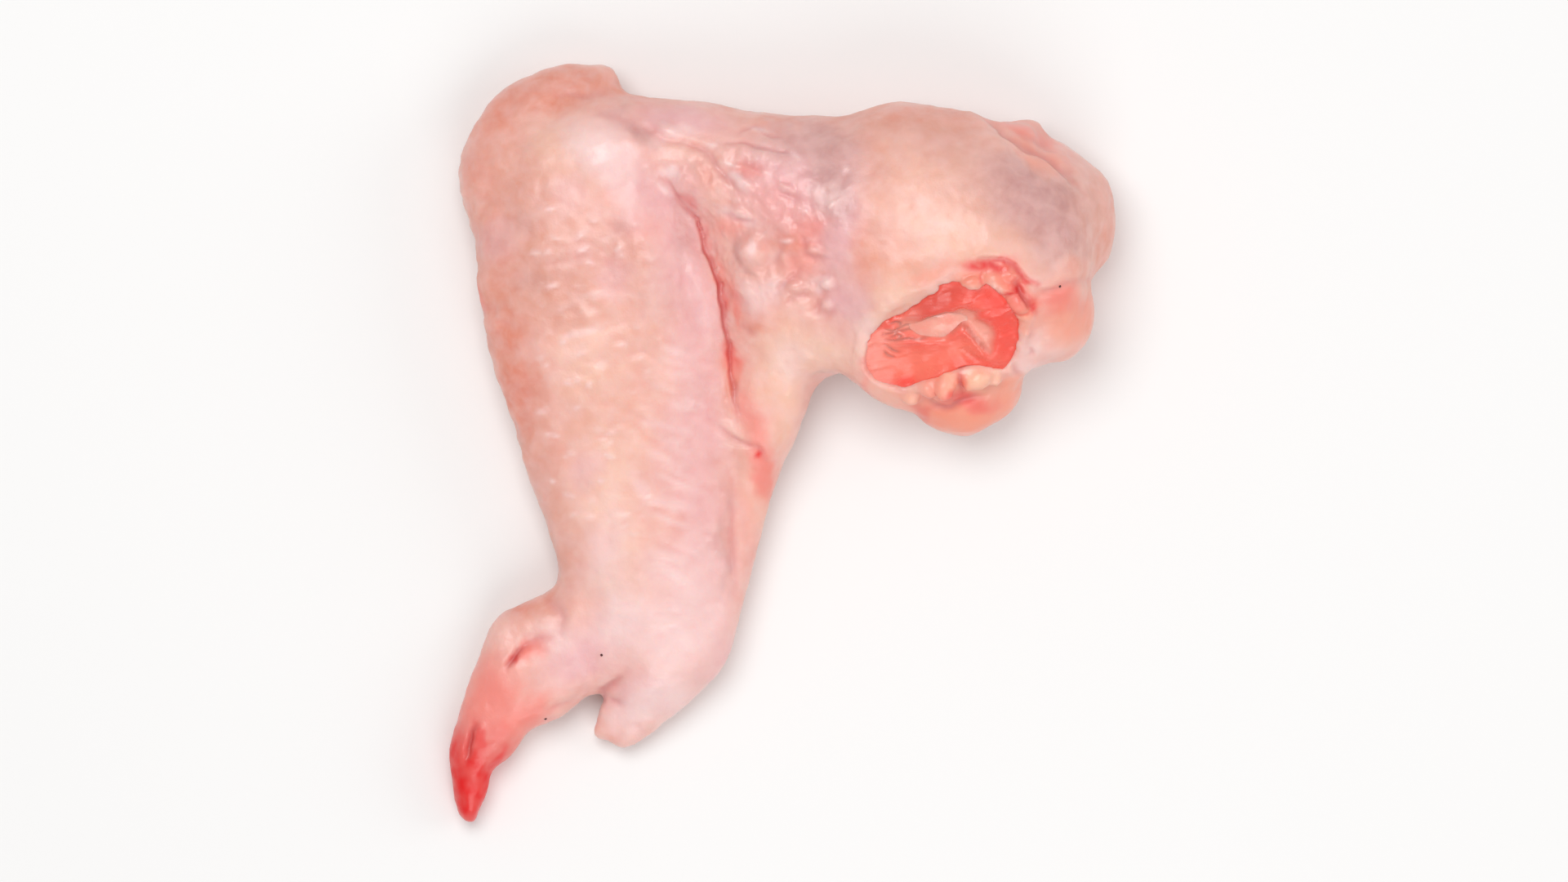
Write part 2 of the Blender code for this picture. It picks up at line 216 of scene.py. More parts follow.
def along_route(points, route):
    """For each point, in plan: its distance to the route, its side (left is +) and its share of the way."""
    route = np.array(route, dtype=float)
    steps = np.linalg.norm(np.diff(route, axis=0), axis=1)
    passed = np.concatenate(([0.0], np.cumsum(steps)))
    nearest = np.full(len(points), 1e9)
    side = np.zeros(len(points))
    share = np.zeros(len(points))
    for start, end, length, before in zip(route, route[1:], steps, passed):
        ahead = (end - start) / length
        offset = points[:, :2] - start
        along = np.clip(offset @ ahead, 0.0, length)
        away = offset - along[:, None] * ahead
        gap = np.linalg.norm(away, axis=1)
        closer = gap < nearest
        nearest[closer] = gap[closer]
        side[closer] = np.sign(ahead[0] * offset[:, 1] - ahead[1] * offset[:, 0])[closer]
        share[closer] = ((before + along) / passed[-1])[closer]
    return nearest, side, share


def stroke(points, route, width, fade=0.7):
    """1 on a line in plan, fading to 0 across its width and towards its two ends."""
    gap, _, share = along_route(points, route)
    ends = np.sin(np.pi * np.clip(share, 0.03, 0.97)) ** fade
    return ends * hump(gap, 0.0, width)


# %% [markdown]
# ## The skin's large form
#
# Under the skin lie two forearm bones with their muscles, and a thin web of skin is stretched from the shoulder
# to the wrist in front of them. Where the solid's lobes were fused they still look like separate balls, so
# those places are melted: wide dabs say where the surface is relaxed, over and over.

# %% Wrap the skin and melt the joins
COARSE_SQUARE, FINE_SQUARE = 0.9, 0.45
skin = wrapped_copy("chicken_skin", COARSE_SQUARE, "wing_skin")
at, edges = read_mesh(skin)
at = smooth_keeping_volume(at, edges, rounds=7)

MELTED = [
    (0, 14, 12, 8, 100), (2, 30, 13, 11, 0), (-20, 47, 12, 6, -20), (-37, -26, 6, 5, 0), (-20, -30, 12, 8, 60),
    (42, 34, 9, 9, 0),
]
soft = np.max([dab(at, *spot) for spot in MELTED], axis=0)
for _ in range(30):
    at = relax(at, edges, 0.5 * soft[:, None])
print("places melted:", len(MELTED), "points:", len(at))

# %% [markdown]
# ## Nudges for the outline
#
# The real wing has small bays and knobs along its edge, most of them under a millimetre deep. Each nudge takes
# a round place, by its reach, and slides it a little along x and y.

# %% Nudge the outline
NUDGES = [
    (-47.6, 42, 6, -0.8, 0), (-48, 33, 3, -0.4, 0), (-14, 52, 5, 0, 0.5), (-27.6, 57.2, 2.4, 0.9, 0.9),
    (-23.8, 55, 1.8, -0.4, -0.7), (-38, 56.6, 3.4, 0, -0.6), (9.4, 50.4, 3.4, 0, -0.7), (17, 51.6, 4.6, 0, 0.9),
    (37.4, 48.2, 2.6, 0.5, 1.2), (40, 46.6, 1.8, -0.5, -1.1), (48.6, 39.8, 4.4, 1, 0.6),
    (50.4, 30.7, 3, -0.5, 0), (32.8, 3.6, 3, -0.3, 0.5), (40.4, 11.4, 2.4, 0, 0.8), (37.2, 10.6, 1.8, 0, 0.9),
    (12.8, 9, 3, -0.2, 1.8), (9, 10, 2, 0, 0.7), (-22.6, -43.8, 4, 0, -0.9), (-28.4, -43.6, 1.8, -1.3, -0.5),
    (-24.4, -45.6, 1.4, -0.2, -0.4), (-26.2, -44.4, 1.2, 0.5, 0.4), (-29, -39.2, 2, 0.5, 0),
    (-32.6, -40.4, 3.2, 0, -0.8), (-39, -44.6, 2.6, -0.4, 0.7), (-44, -50.8, 2.6, -0.85, 0.6),
    (-45.6, -55.6, 1.6, -0.5, 0), (-50.6, -47, 3, -0.6, 0), (-48.4, -56.6, 2, 0, -0.9),
    (-36, -22.2, 2.4, 0.9, -0.2), (-44.6, -27, 4.4, -0.7, 0.4), (-26.6, -40.8, 1.5, -1.2, 0),
]
for x, y, reach, dx, dy in NUDGES:
    near = np.exp(-((at[:, 0] - x) ** 2 + (at[:, 1] - y) ** 2) / reach**2)
    at[:, :2] += near[:, None] * (dx, dy)
print("nudges:", len(NUDGES))

# %% [markdown]
# ## The edge of the cut
#
# A knife through a joint leaves no clean oval. This cut has a blunt left end, small peaks at the top and a
# nearly straight lower side. The solid's cut is a plain oval, so the points near its edge slide along the cut
# until the edge takes the drawn outline. The same slide takes back the upper left wall, which the melting has
# pushed outwards. Then the rim is lifted where it has sunk below the cut's level.

# %% Fit the cut's edge and lift its rim
CUT_OUTLINE = [
    (12.5, 11.4), (12.6, 15.6), (15, 17.6), (17.8, 19.4), (20.2, 21.3), (22.8, 22.6), (24.3, 23.8),
    (26.2, 24.4), (28, 23.5), (29.6, 23.6), (30.7, 24.4), (32.2, 23.3), (34.5, 20.7), (35.4, 18.8),
    (35.5, 16.5), (34.5, 13.1), (33.4, 11.4), (32.1, 11.7), (30.4, 12.5), (28, 12.4), (25.4, 11.6), (23, 10.8),
    (21.1, 10.1), (19, 8.9), (16.6, 8.8), (13.7, 9.6),
]
MELTED_ANGLE, MELTED_SPREAD, MELTED_OUT = 2.65, 0.55, 1.3
RIM_LEVEL, RIM_LIFT = -0.2, 2.2


def cut_coordinates(points):
    """Each point in the cut's own frame, in mm: along the oval, across it, and out of it."""
    away = points - CUT_MIDDLE
    return away @ CUT_X, away @ CUT_Y, away @ CUT_NORMAL


def oval_share(u, v):
    """How far out a point lies from the cut's middle: 1 is on the plain oval."""
    return np.hypot(u / CUT_HALF_LENGTH, v / CUT_HALF_WIDTH)


def turn_between(angle, other):
    return (angle - other + np.pi) % (2 * np.pi) - np.pi


def polar(outline):
    """An outline in plan as angles round the cut's middle, in order, and the distance at each."""
    away = np.array(outline)[:, :2] - CUT_MIDDLE[:2]
    angle = np.arctan2(away[:, 1], away[:, 0])
    order = np.argsort(angle)
    return angle[order], np.linalg.norm(away, axis=1)[order]


def round_cut(points, outline):
    """Each point's angle round the cut's middle in plan, and its distance as a share of the outline's."""
    away = points[:, :2] - CUT_MIDDLE[:2]
    angle = np.arctan2(away[:, 1], away[:, 0])
    return angle, np.linalg.norm(away, axis=1) / np.interp(angle, *polar(outline), period=2 * np.pi)


turn_round = np.linspace(0.0, 2 * np.pi, 72, endpoint=False)
oval = CUT_MIDDLE + CUT_HALF_LENGTH * np.cos(turn_round)[:, None] * CUT_X
oval += CUT_HALF_WIDTH * np.sin(turn_round)[:, None] * CUT_Y


def fit_to_outline(points, inner_reach, outer_reach, depth, extra=0.0):
    """Slides the points near the plain oval's edge along the cut, so that the edge takes the drawn outline."""
    u, v, w = cut_coordinates(points)
    away = (points - CUT_MIDDLE)[:, :2]
    angle, _ = round_cut(points, oval)
    wanted = np.interp(angle, *polar(CUT_OUTLINE), period=2 * np.pi) + extra
    change = wanted - np.interp(angle, *polar(oval), period=2 * np.pi)
    out = oval_share(u, v)
    near = hump(out, 1.0, np.where(out > 1.0, outer_reach, inner_reach)) * rise(w, -depth, 3.0)
    push = (near * change)[:, None] * away / np.linalg.norm(away, axis=1)[:, None]
    climb = -(push @ CUT_NORMAL[:2]) / CUT_NORMAL[2]
    return points + np.column_stack([push, climb])


angle, _ = round_cut(at, oval)
melted_back = -MELTED_OUT * hump(turn_between(angle, MELTED_ANGLE), 0.0, MELTED_SPREAD)
at = fit_to_outline(at, inner_reach=0.2, outer_reach=0.42, depth=5.0, extra=melted_back)
u, v, w = cut_coordinates(at)
out = oval_share(u, v)
near_rim = hump(out, 1.0, np.where(out > 1.0, 0.6, 0.2)) * (w > -5.0)
at += CUT_NORMAL * (near_rim * np.clip(RIM_LEVEL - w, 0.0, RIM_LIFT))[:, None]
print("rim points lifted:", int(((near_rim > 0.3) & (w < RIM_LEVEL)).sum()))

# %% [markdown]
# ## The deep crease
#
# The web meets the forearm's muscle in one deep crease, which starts beside the elbow. The muscle swells up on
# its left and the web dips on its right. Only skin that faces up is moved.

# %% Press the main crease
MAIN_CREASE = [
    (-18.8, 41), (-15.9, 37.2), (-13.3, 34.4), (-12.1, 30.7), (-10.9, 27.2), (-10, 24.9), (-9.4, 21.4),
    (-9.1, 18.1), (-8.2, 14.9), (-8.4, 11.2), (-7.4, 6), (-7, 3.6),
]
LIP_RISE, LIP_SINK = 1.0, 1.1


def facing_up(obj, slack=0.0):
    """1 where the surface looks up, and 0 where it stands upright or looks down."""
    return np.clip(read_normals(obj)[:, 2] * 3.0 + slack, 0.0, 1.0)


write_points(skin, at)
gap, side, share = along_route(at, MAIN_CREASE)
ends = np.sin(np.pi * np.clip(share, 0.05, 0.95)) ** 0.6
on_forearm = side < 0
lip = np.where(on_forearm, LIP_RISE * hump(gap, 2.4, 2.0), -LIP_SINK * hump(gap, 0.0, 2.8))
at[:, 2] += facing_up(skin) * ends * lip
at = relax(at, edges, 0.3)
write_points(skin, at)
print("coarse skin faces:", len(skin.data.polygons))

# %% [markdown]
# ## Beads of fat on the rim
#
# Round the cut the fat has come out in eleven beads: a string of six at the upper right, and five below, the
# largest like pillows. Each is a ball, drawn out and dented by noise. They could stay pieces of their own, but
# fat grows out of the flesh without a seam. So they are pressed halfway into the skin, and a finer voxel remesh
# makes one surface of all. A bead has its place, half its length and width, its turn, paleness and how proud it
# stands.

# %% Fuse the beads with the skin
BEADS = [
    (28.5, 24.6, 1.7, 1.3, 0, 0.15, -0.15), (31.8, 25.2, 1.7, 1.3, -35, 0.1, -0.2),
    (33.4, 24.2, 1.5, 1.1, -30, 0.1, -0.2), (34.3, 25.8, 1.4, 1.2, 0, 0, -0.2),
    (35.7, 21.7, 1.7, 1.4, -40, 0, -0.2), (36.6, 19.6, 1.2, 0.8, 20, 0.2, -0.3),
    (29.4, 10, 2.2, 1.9, 12, 1, 0.05), (32.1, 10.2, 1.1, 1.6, 0, 0.6, 0.05),
    (24.5, 9.3, 1.4, 2.1, -8, 0.9, 0.05), (22, 8.5, 1.3, 1.1, 0, 0.4, 0.05),
    (19.4, 7.3, 1.2, 1.3, 0, 0.5, -0.2),
]
RIM_STEPS = np.linspace(-np.pi, np.pi, 37)
STRAIGHT_DOWN = Vector((0.0, 0.0, -1.0))


def rim_heights(points, normals):
    """How far the skin's rim stands out of the cut's plane, at even steps round it."""
    angle, beyond = round_cut(points, CUT_OUTLINE)
    _, _, w = cut_coordinates(points)
    on_rim = (beyond > 1.0) & (beyond < 1.18) & (w > -4.0) & (normals @ CUT_NORMAL > 0.4)
    weight = on_rim * hump(turn_between(angle[None, :], RIM_STEPS[:, None]), 0.0, 0.2)
    return weight @ w / weight.sum(axis=1)


def from_above(x, y):
    """A place in plan as a point of the scene, well above the wing."""
    return Vector((np.array([x, y, 0.0]) + PLAN_SHIFT) * MM) + Vector((0.0, 0.0, 0.1))


rim = rim_heights(at, read_normals(skin))
bpy.context.view_layer.update()
fused = bmesh.new()
fused.from_mesh(skin.data)
for number, (x, y, half_length, half_width, turn, _, proud) in enumerate(BEADS):
    place = np.array([[x, y, 0.0]])
    angle, _ = round_cut(place, CUT_OUTLINE)
    over = np.interp(angle[0], RIM_STEPS, rim, period=2 * np.pi) - 0.3
    z_on_rim = CUT_MIDDLE[2] + (over - (place[0, :2] - CUT_MIDDLE[:2]) @ CUT_NORMAL[:2]) / CUT_NORMAL[2]
    above = from_above(x, y)
    hit, point, _, _ = skin.ray_cast(above, STRAIGHT_DOWN)
    middle = Vector((above.x, above.y, max(point.z if hit else 0.0, z_on_rim * MM) + proud * half_width * MM))
    spin = Matrix.Rotation(math.radians(turn), 3, "Z")
    least = min(half_length, half_width)
    for vert in bmesh.ops.create_icosphere(fused, subdivisions=3, radius=1.0)["verts"]:
        dent = 1.0 + 0.16 * noise.noise(vert.co * 1.3 + Vector((number * 3.7, 0.0, 0.0)))
        shape = Vector((vert.co.x * half_length, vert.co.y * half_width, vert.co.z * 0.8 * least))
        vert.co = middle + spin @ shape * dent * MM
fused.to_mesh(skin.data)
fused.free()
apply_modifier(skin, "REMESH", mode="VOXEL", voxel_size=FINE_SQUARE * MM)
at, edges = read_mesh(skin)
at = smooth_keeping_volume(at, edges, rounds=4)
write_points(skin, at)
print("beads:", len(BEADS), "skin faces:", len(skin.data.polygons))

# %% [markdown]
# ## Finer squares where the detail is
#
# Squares of half a millimetre are fine enough for the smooth forearm, but not for the torn rim, the web's
# narrow creases and the cut tip. Splitting all of them would slow the work down, so only those places are
# split.

# %% Halve the squares in the web, at the cut and on the hand
DETAILED_SPOTS = [(-4, 34, 15, 12, -30), (-40, -31.4, 4.6, 3.4, 30), (-47.4, -49, 7, 4, 60)]


def round_the_rim(points):
    _, beyond = round_cut(points, CUT_OUTLINE)
    return (beyond < 1.75) & (cut_coordinates(points)[2] > -7.0)


to_crease, _, _ = along_route(at, MAIN_CREASE)
detailed = round_the_rim(at) | (to_crease < 3.0)
for spot in DETAILED_SPOTS:
    detailed |= dab(at, *spot) > 0.4
detailed &= read_normals(skin)[:, 2] > -0.2
fine = bmesh.new()
fine.from_mesh(skin.data)
split = [edge for edge in fine.edges if all(detailed[vert.index] for vert in edge.verts)]
bmesh.ops.subdivide_edges(fine, edges=split, cuts=1, use_grid_fill=True)
bmesh.ops.triangulate(fine, faces=[face for face in fine.faces if len(face.verts) > 4])
fine.to_mesh(skin.data)
fine.free()
at, edges = read_mesh(skin)
at = relax(at, edges, 0.3)
print("skin faces now:", len(skin.data.polygons))

# %% [markdown]
# ## A calm rim
#
# Squares follow a slanting edge in little steps, like the teeth of a saw. A narrow ring along the cut's rim is
# relaxed until they are gone. The beads are left out of it, so they stay round.

# %% Take the steps out of the rim
STEPPED_RING, STEPPED_WIDTH = 1.04, 0.14
on_beads = np.max([dab(at, x, y, 1.2 * a, 1.2 * b, turn) for x, y, a, b, turn, *_ in BEADS], axis=0)
_, beyond = round_cut(at, CUT_OUTLINE)
_, _, w = cut_coordinates(at)
stepped = hump(beyond, STEPPED_RING, STEPPED_WIDTH) * rise(w, -5.0, 2.0) * (1.0 - on_beads)
for _ in range(12):
    at = relax(at, edges, 0.5 * stepped[:, None])
write_points(skin, at)
print("rim points calmed:", int((stepped > 0.5).sum()))

# %% [markdown]
# ## Creases
#
# Skin folds where it is pushed together: beside the elbow, in front of the wrist, and where the shoulder's
# loose roll laps over the drumette. The web is crumpled most, for it is slack when the wing is folded. A crease
# is a narrow groove with a soft swelling on each side, given as its route, half its width and its depth. A few
# of them hold blood, so they get a mask of their own for painting. The others get a mask of painted shade,
# which darkens their grooves.

# %% Press the creases into the fine skin
CREASES = {
    "main": (MAIN_CREASE, 0.42, 0.5),
    "main_fork": ([(-10, 25.1), (-7.9, 22.6), (-6.3, 20.9), (-5.4, 18.8)], 0.8, 0.3),
    "main_end": ([(-8.4, 11.2), (-7.5, 8.4), (-7.7, 6.6), (-7, 4.2)], 0.7, 0.3),
    "forearm_to_web": ([(-11.4, 3.7), (-7.9, 1.2), (-4.4, -0.2), (-2.9, -1.7), (-2.3, -3.5)], 0.6, 0.55),
    "web_hem": ([(-7.6, -5), (-8.1, -8), (-7.9, -14), (-7.7, -20), (-7.4, -25.6)], 0.8, 0.35),
    "elbow_fold": ([(-29.5, 50.8), (-25.6, 49.8), (-22.2, 48.2), (-18.9, 46.8)], 1.1, 0.4),
    "elbow_cap": ([(-36, 54), (-31, 53.4), (-26.6, 53.6), (-24.6, 52)], 1, 0.35),
    "web_fold": ([
        (-18.9, 46.8), (-14.2, 45.8), (-12.3, 44.9), (-10.9, 43.1), (-9.2, 41.2), (-7, 39.2), (-5.1, 37.4)],
        0.6, 0.45),
    "top_fold": ([(-11.5, 45.8), (-8.9, 46.3), (-6.3, 46), (-2.2, 45.2), (1.4, 44.4), (3.4, 43.2)], 0.45, 0.4),
    "top_flap": ([(-7.9, 46.7), (-6.4, 47.8), (-4.8, 48.6), (-1.9, 47), (0.6, 46.6)], 0.45, 0.35),
    "short_fold_1": ([(-7.4, 43.6), (-6.3, 43.2), (-4.5, 42.4), (-3, 42.6)], 0.8, 0.35),
    "short_fold_2": ([(-0.9, 39.4), (0.4, 38.2), (1.8, 37.4), (3.8, 37)], 0.8, 0.4),
    "short_fold_3": ([(-10.9, 36.4), (-9.3, 35.1), (-7.9, 34.3), (-5.3, 34.3), (-3.4, 33.6)], 0.7, 0.4),
    "short_fold_4": ([(-1.2, 32.6), (-0.3, 30.4), (-1.2, 27.9), (-2.8, 26.2)], 0.7, 0.35),
    "short_fold_5": ([(2.6, 32.6), (3.1, 30), (4.4, 28.2), (6.4, 28.4), (8.9, 28)], 0.6, 0.3),
    "short_fold_6": ([(-1.8, 21.9), (-0.4, 24), (1.1, 25.4), (3, 27.2)], 0.8, 0.45),
    "short_fold_7": ([(-0.4, 21.4), (1.6, 22.4), (3.9, 22.6), (5.2, 23)], 0.8, 0.35),
    "short_fold_8": ([(4.8, 22.6), (5.2, 20.4), (6.6, 19.6), (8.3, 20.7)], 0.8, 0.35),
    "short_fold_9": ([(-7, 18.6), (-5.6, 17.2), (-3.6, 16.8)], 0.8, 0.35),
    "back_roll": ([(29.6, 51), (33, 47.8), (36, 45.8), (40, 43.8), (43.6, 41.2), (45.4, 38)], 0.7, 1),
    "back_flap": ([(34, 48.4), (36.6, 46.9), (39.4, 45.6), (41.8, 44.2)], 0.6, 0.5),
    "wrist_notch": ([(-28, -39.8), (-27.6, -37.6), (-25.6, -36.2), (-24.6, -34.8)], 0.7, 0.7),
    "thumb_line": ([(-27, -38.6), (-25.2, -39), (-24, -40.4)], 0.6, 0.35),
    "wrist_back": ([(-36.4, -22.4), (-34, -26.4), (-34.6, -30)], 1.1, 0.4),
    "hand_pocket": ([(-42.4, -34.2), (-41.8, -33), (-40.6, -31.4), (-39.6, -30.6)], 0.5, 0.55),
    "hand_lip": ([(-41.2, -31.8), (-39.8, -30.5), (-37.4, -29.6), (-35, -29.2)], 0.8, 0.35),
    "hand_edge": ([(-31, -38.6), (-34, -39.9), (-37.4, -40.6)], 0.8, 0.3),
    "tip_gash": ([(-46.8, -42.6), (-47.7, -43.8), (-48.2, -46), (-48.5, -48.6)], 0.5, 0.8),
    "clot_line": ([
        (28.4, 27.4), (29.8, 28), (31.6, 28.4), (33.4, 28.1), (34.9, 27), (36.6, 25.3), (38.5, 24.3)],
        0.5, 0.4),
    "clot_hollow": ([(29.4, 27.4), (31, 27.8), (33, 27.2)], 0.9, 0.3),
    "clot_side": ([(34.9, 24.4), (35.9, 23.4), (37, 22), (37.9, 20.6)], 0.5, 0.6),
    "right_lobe_rim": ([(36.8, 19), (37.2, 16.8), (36.8, 14.4)], 0.9, 0.2),
    "right_lobe_fold": ([(38.6, 23.4), (40.4, 23.4), (42.6, 24)], 0.6, 0.4),
    "right_lobe_end": ([(40.4, 24.3), (42.6, 24.5), (45, 24.9), (47, 25.6)], 0.9, 0.4),
    "right_lobe_low": ([(37.3, 15), (37.8, 14), (37.6, 13.2)], 0.4, 0.4),
    "low_lobe_gap": ([(34.6, 12.4), (35.3, 11.2), (36.6, 10.4)], 0.7, 0.5),
    "under_beads": ([(20.4, 6.8), (21.8, 6.8), (23.2, 6.1), (25.2, 5.9), (27.8, 6.9), (30.6, 7.4)], 0.6, 0.6),
    "between_beads": ([(26.8, 11.6), (26.8, 10.2), (27, 8.6), (27.6, 7.4)], 0.5, 0.4),
    "left_lobe": ([(15.4, 9.4), (17.6, 8.2), (20.6, 7.8)], 0.7, 0.3),
}
RED_CREASES = ("main", "hand_pocket", "tip_gash", "clot_side", "between_beads")
SWELL = 0.28

at, edges = read_mesh(skin)
normals = read_normals(skin)
upward = facing_up(skin, slack=0.4)
loose = shaken(at, 2.6, 0.45)
crease_shade_mask, red_crease_mask, sink = np.zeros((3, len(at)))
for name, (route, width, depth) in CREASES.items():
    groove = stroke(loose, route, width) * upward
    swell = stroke(loose, route, width * 3.0) * upward
    sink += depth * groove - SWELL * depth * swell
    if name in RED_CREASES:
        red_crease_mask = np.maximum(red_crease_mask, groove * min(1.0, 0.5 + depth))
    else:
        # Painted shade: the grooves of the creases without blood are painted darker later.
        crease_shade_mask = np.maximum(crease_shade_mask, groove**1.5 * min(1.0, 0.3 + depth))
at -= normals * sink[:, None]
print("creases:", len(CREASES))

# %% [markdown]
# ## Crumpled web, padded forearm
#
# Between the drawn creases the skin is never plain. Over the forearm, fat lies in small soft pads, a few
# millimetres wide, which a cell pattern gives: high in the middle of each cell and low along its borders. In
# the web the skin is crumpled like cloth, so there the cells are smaller and sharper. On the muscle's ridge the
# pads are drawn out across the arm.

# %% Cells, and where they lie
def pads(points, length, width, turn, seed=0.0):
    """Soft pads, 0 along their borders and 1 in their middles, longer along the direction of turn."""
    c, s = math.cos(math.radians(turn)), math.sin(math.radians(turn))
    along = (points[:, 0] * c + points[:, 1] * s) / length
    across = (points[:, 1] * c - points[:, 0] * s) / width
    places = np.stack([along + seed, across, points[:, 2] / width + seed], axis=1)
    heights = np.empty(len(points))
    for k, place in enumerate(places):
        first, second = noise.voronoi(Vector(place))[0][:2]
        heights[k] = second - first
    return eased(rise(heights, 0.0, 0.8))


web_skin = np.clip(dab(at, -3.0, 34.0, 14.0, 11.0, -30.0) + 0.3 * dab(at, 0.0, 18.0, 8.0, 9.0, 10.0), 0.0, 1.0)
web_skin *= 1.0 - dab(at, 18.0, 33.0, 10.0, 14.0)
forearm_skin = dab(at, -30.0, 10.0, 42.0, 18.0, FOREARM_HEADING) * (1.0 - web_skin)
ridge_skin = dab(at, -17.0, -4.0, 26.0, 8.0, -84.0)
back_edge = dab(at, -46.0, 24.0, 5.0, 24.0, 8.0)
hand_skin = dab(at, -42.0, -42.0, 18.0, 10.0, 65.0)
loose = shaken(at, 5.0, 1.3, seed=4.0)
relief = 0.18 * forearm_skin * (1.0 - 0.8 * ridge_skin) * (pads(loose, 4.8, 3.8, 10.0) - 0.5)
relief += 0.26 * ridge_skin * (pads(loose, 6.4, 2.4, -16.0, seed=7.0) - 0.5)
relief += 0.34 * web_skin * (pads(loose, 4.8, 3.2, -35.0, seed=11.0) - 0.5)
relief += 0.20 * web_skin * (0.35 - np.abs(ripple(loose, 3.6, seed=18.0)))
relief += 0.26 * back_edge * (pads(loose, 3.4, 3.4, 0.0, seed=15.0) - 0.5)
relief += (0.07 + 0.10 * web_skin) * ripple(at, 1.5, seed=6.3)
relief += 0.30 * (1.0 - 0.5 * hand_skin) * ripple(at, 9.0, seed=3.1) + 0.12 * ripple(at, 4.0, seed=5.7)
at += normals * relief[:, None]
print("relief in mm:", round(float(relief.min()), 2), "to", round(float(relief.max()), 2))

# %% [markdown]
# ## Bands and glints
#
# Over the forearm's muscle the skin is gathered into faint pale bands, which slope across the arm one after
# another. In the web and on the forearm there are also short ridges, which catch the light. The web's are
# drawn, each as its place, half its length and its turn, and the forearm's lie where chance puts them.

# %% Raise the bands and the short ridges
FLAKES = [
    (-3.6, 48.2, 1.6, -12), (-10.8, 45.9, 1, 10), (-18.6, 39.3, 1.2, -50), (-6.6, 39.2, 1.5, -45),
    (0.2, 38.7, 1.2, -15), (-6.2, 34.5, 1.6, 5), (0.6, 31.2, 1.3, 8), (4.7, 29.7, 1, 20), (-0.4, 24.4, 1.2, 50),
    (4, 31.3, 0.8, 0), (9.3, 42.1, 0.5, 0), (-8.1, 42.7, 1.2, -20), (1.8, 44.2, 1.2, -30), (3.2, 35.6, 0.9, 15),
    (7.4, 36.6, 0.7, 30), (-2.6, 41.4, 0.9, -30),
]
BANDS, BAND_STEP, GLINTS = 19, 2.35, 60
random = np.random.RandomState(7)
loose = shaken(at, 4.0, 0.6, seed=31.0)
upward = facing_up(skin)
band_mask, glint_mask = np.zeros((2, len(at)))
for step in range(BANDS):
    y = 15.0 - BAND_STEP * step + random.uniform(-0.9, 0.9)
    x = -17.4 + 0.05 * (15.0 - y) + random.uniform(-1.6, 1.6)
    half = random.uniform(1.8, 3.6)
    slope = random.uniform(0.24, 0.46)
    route = [(x - half, y + slope * half), (x, y + 0.06), (x + half, y - slope * half)]
    band_mask = np.maximum(band_mask, random.uniform(0.4, 1.0) * stroke(loose, route, 0.62))
# These short ridges are also painted paler later, which is a painted highlight.
for x, y, half, turn in FLAKES:
    reach = half * np.array([math.cos(math.radians(turn)), math.sin(math.radians(turn))])
    glint_mask = np.maximum(glint_mask, stroke(loose, [(x, y) - reach, (x, y) + reach], 0.4))
for _ in range(GLINTS):
    x, y = random.uniform(-38.0, -20.0), random.uniform(-14.0, 38.0)
    half, lean = random.uniform(0.5, 1.1), random.uniform(-0.3, 0.5)
    route = [(x - half, y - lean * half), (x + half, y + lean * half)]
    glint_mask = np.maximum(glint_mask, random.uniform(0.3, 1.0) * stroke(loose, route, 0.36))
at += normals * (upward * (0.15 * band_mask + 0.16 * glint_mask))[:, None]
print("bands:", BANDS, "short ridges:", len(FLAKES) + GLINTS)

# %% [markdown]
# ## Nodules and follicles
#
# Plucked skin shows where each feather sat: a small swelling every few millimetres, strongest in the web and
# along the back edge of the forearm. They lie at even distances but in no exact grid, so places are drawn at
# random, and one is kept only if it has no neighbour too near. A few nodules in the same places are much
# larger, and each has a shallow ring round it.

# %% Raise the follicles and the nodules
FOLLICLE_SPACING = 3.1
NODULES = [
    (-5, 29.5, 2.2, 2, 1.5), (6.5, 24.5, 1, 0.9, 0.8), (4.2, 29.7, 1.1, 0.8, 0.5), (1.6, 24.1, 1.3, 0.8, 0.6),
    (0.4, 39, 1.4, 0.6, 0.5), (-6.2, 39.6, 1.8, 1, 0.6), (-6.6, 35.2, 1.6, 0.7, 0.5),
    (6.5, 21.3, 0.8, 0.7, 0.5), (-15.6, 39.6, 1.4, 1.6, 0.5), (-17.8, 48, 1.6, 1, 0.4),
    (-46.4, 24.6, 1.8, 2.2, 0.5), (-45, 18.4, 1.6, 1.8, 0.5), (-45.4, 35, 2, 2.4, 0.4),
]
NODULE_TURN, RING_DEPTH = -25.0, 0.4

tree = kdtree.KDTree(len(at))
for index, point in enumerate(at):
    tree.insert(point, index)
tree.balance()


def spread_places(spacing):
    """Points of the surface that lie at least the spacing from each other."""
    free = np.ones(len(at), dtype=bool)
    chosen = []
    for index in random.permutation(len(at)):
        if free[index]:
            chosen.append(index)
            free[[found[1] for found in tree.find_range(at[index], spacing)]] = False
    return chosen


flank = np.clip(1.0 - 1.6 * normals[:, 2], 0.0, 1.0)
bump_height = 0.04 + 0.16 * web_skin + 0.10 * back_edge + 0.02 * forearm_skin + 0.08 * flank - 0.03 * hand_skin
follicles = np.zeros(len(at))
places = spread_places(FOLLICLE_SPACING)
for index in places:
    reach = random.uniform(0.6, 0.95)
    strength = random.uniform(0.1, 1.0) ** 1.5
    found = tree.find_range(at[index], reach * 2.2)
    ids = [f[1] for f in found]
    gap = np.array([f[2] for f in found])
    follicles[ids] = np.maximum(follicles[ids], strength * hump(gap, 0.0, reach))
at += normals * (bump_height * follicles)[:, None]

for x, y, length, width, height in NODULES:
    bead, inner, outer = (dab(at, x, y, length * k, width * k, NODULE_TURN) for k in (1.0, 1.2, 1.8))
    at += normals * (height * (bead * upward) - RING_DEPTH * height * (outer - inner) * upward)[:, None]
print("follicles:", len(places), "nodules:", len(NODULES))

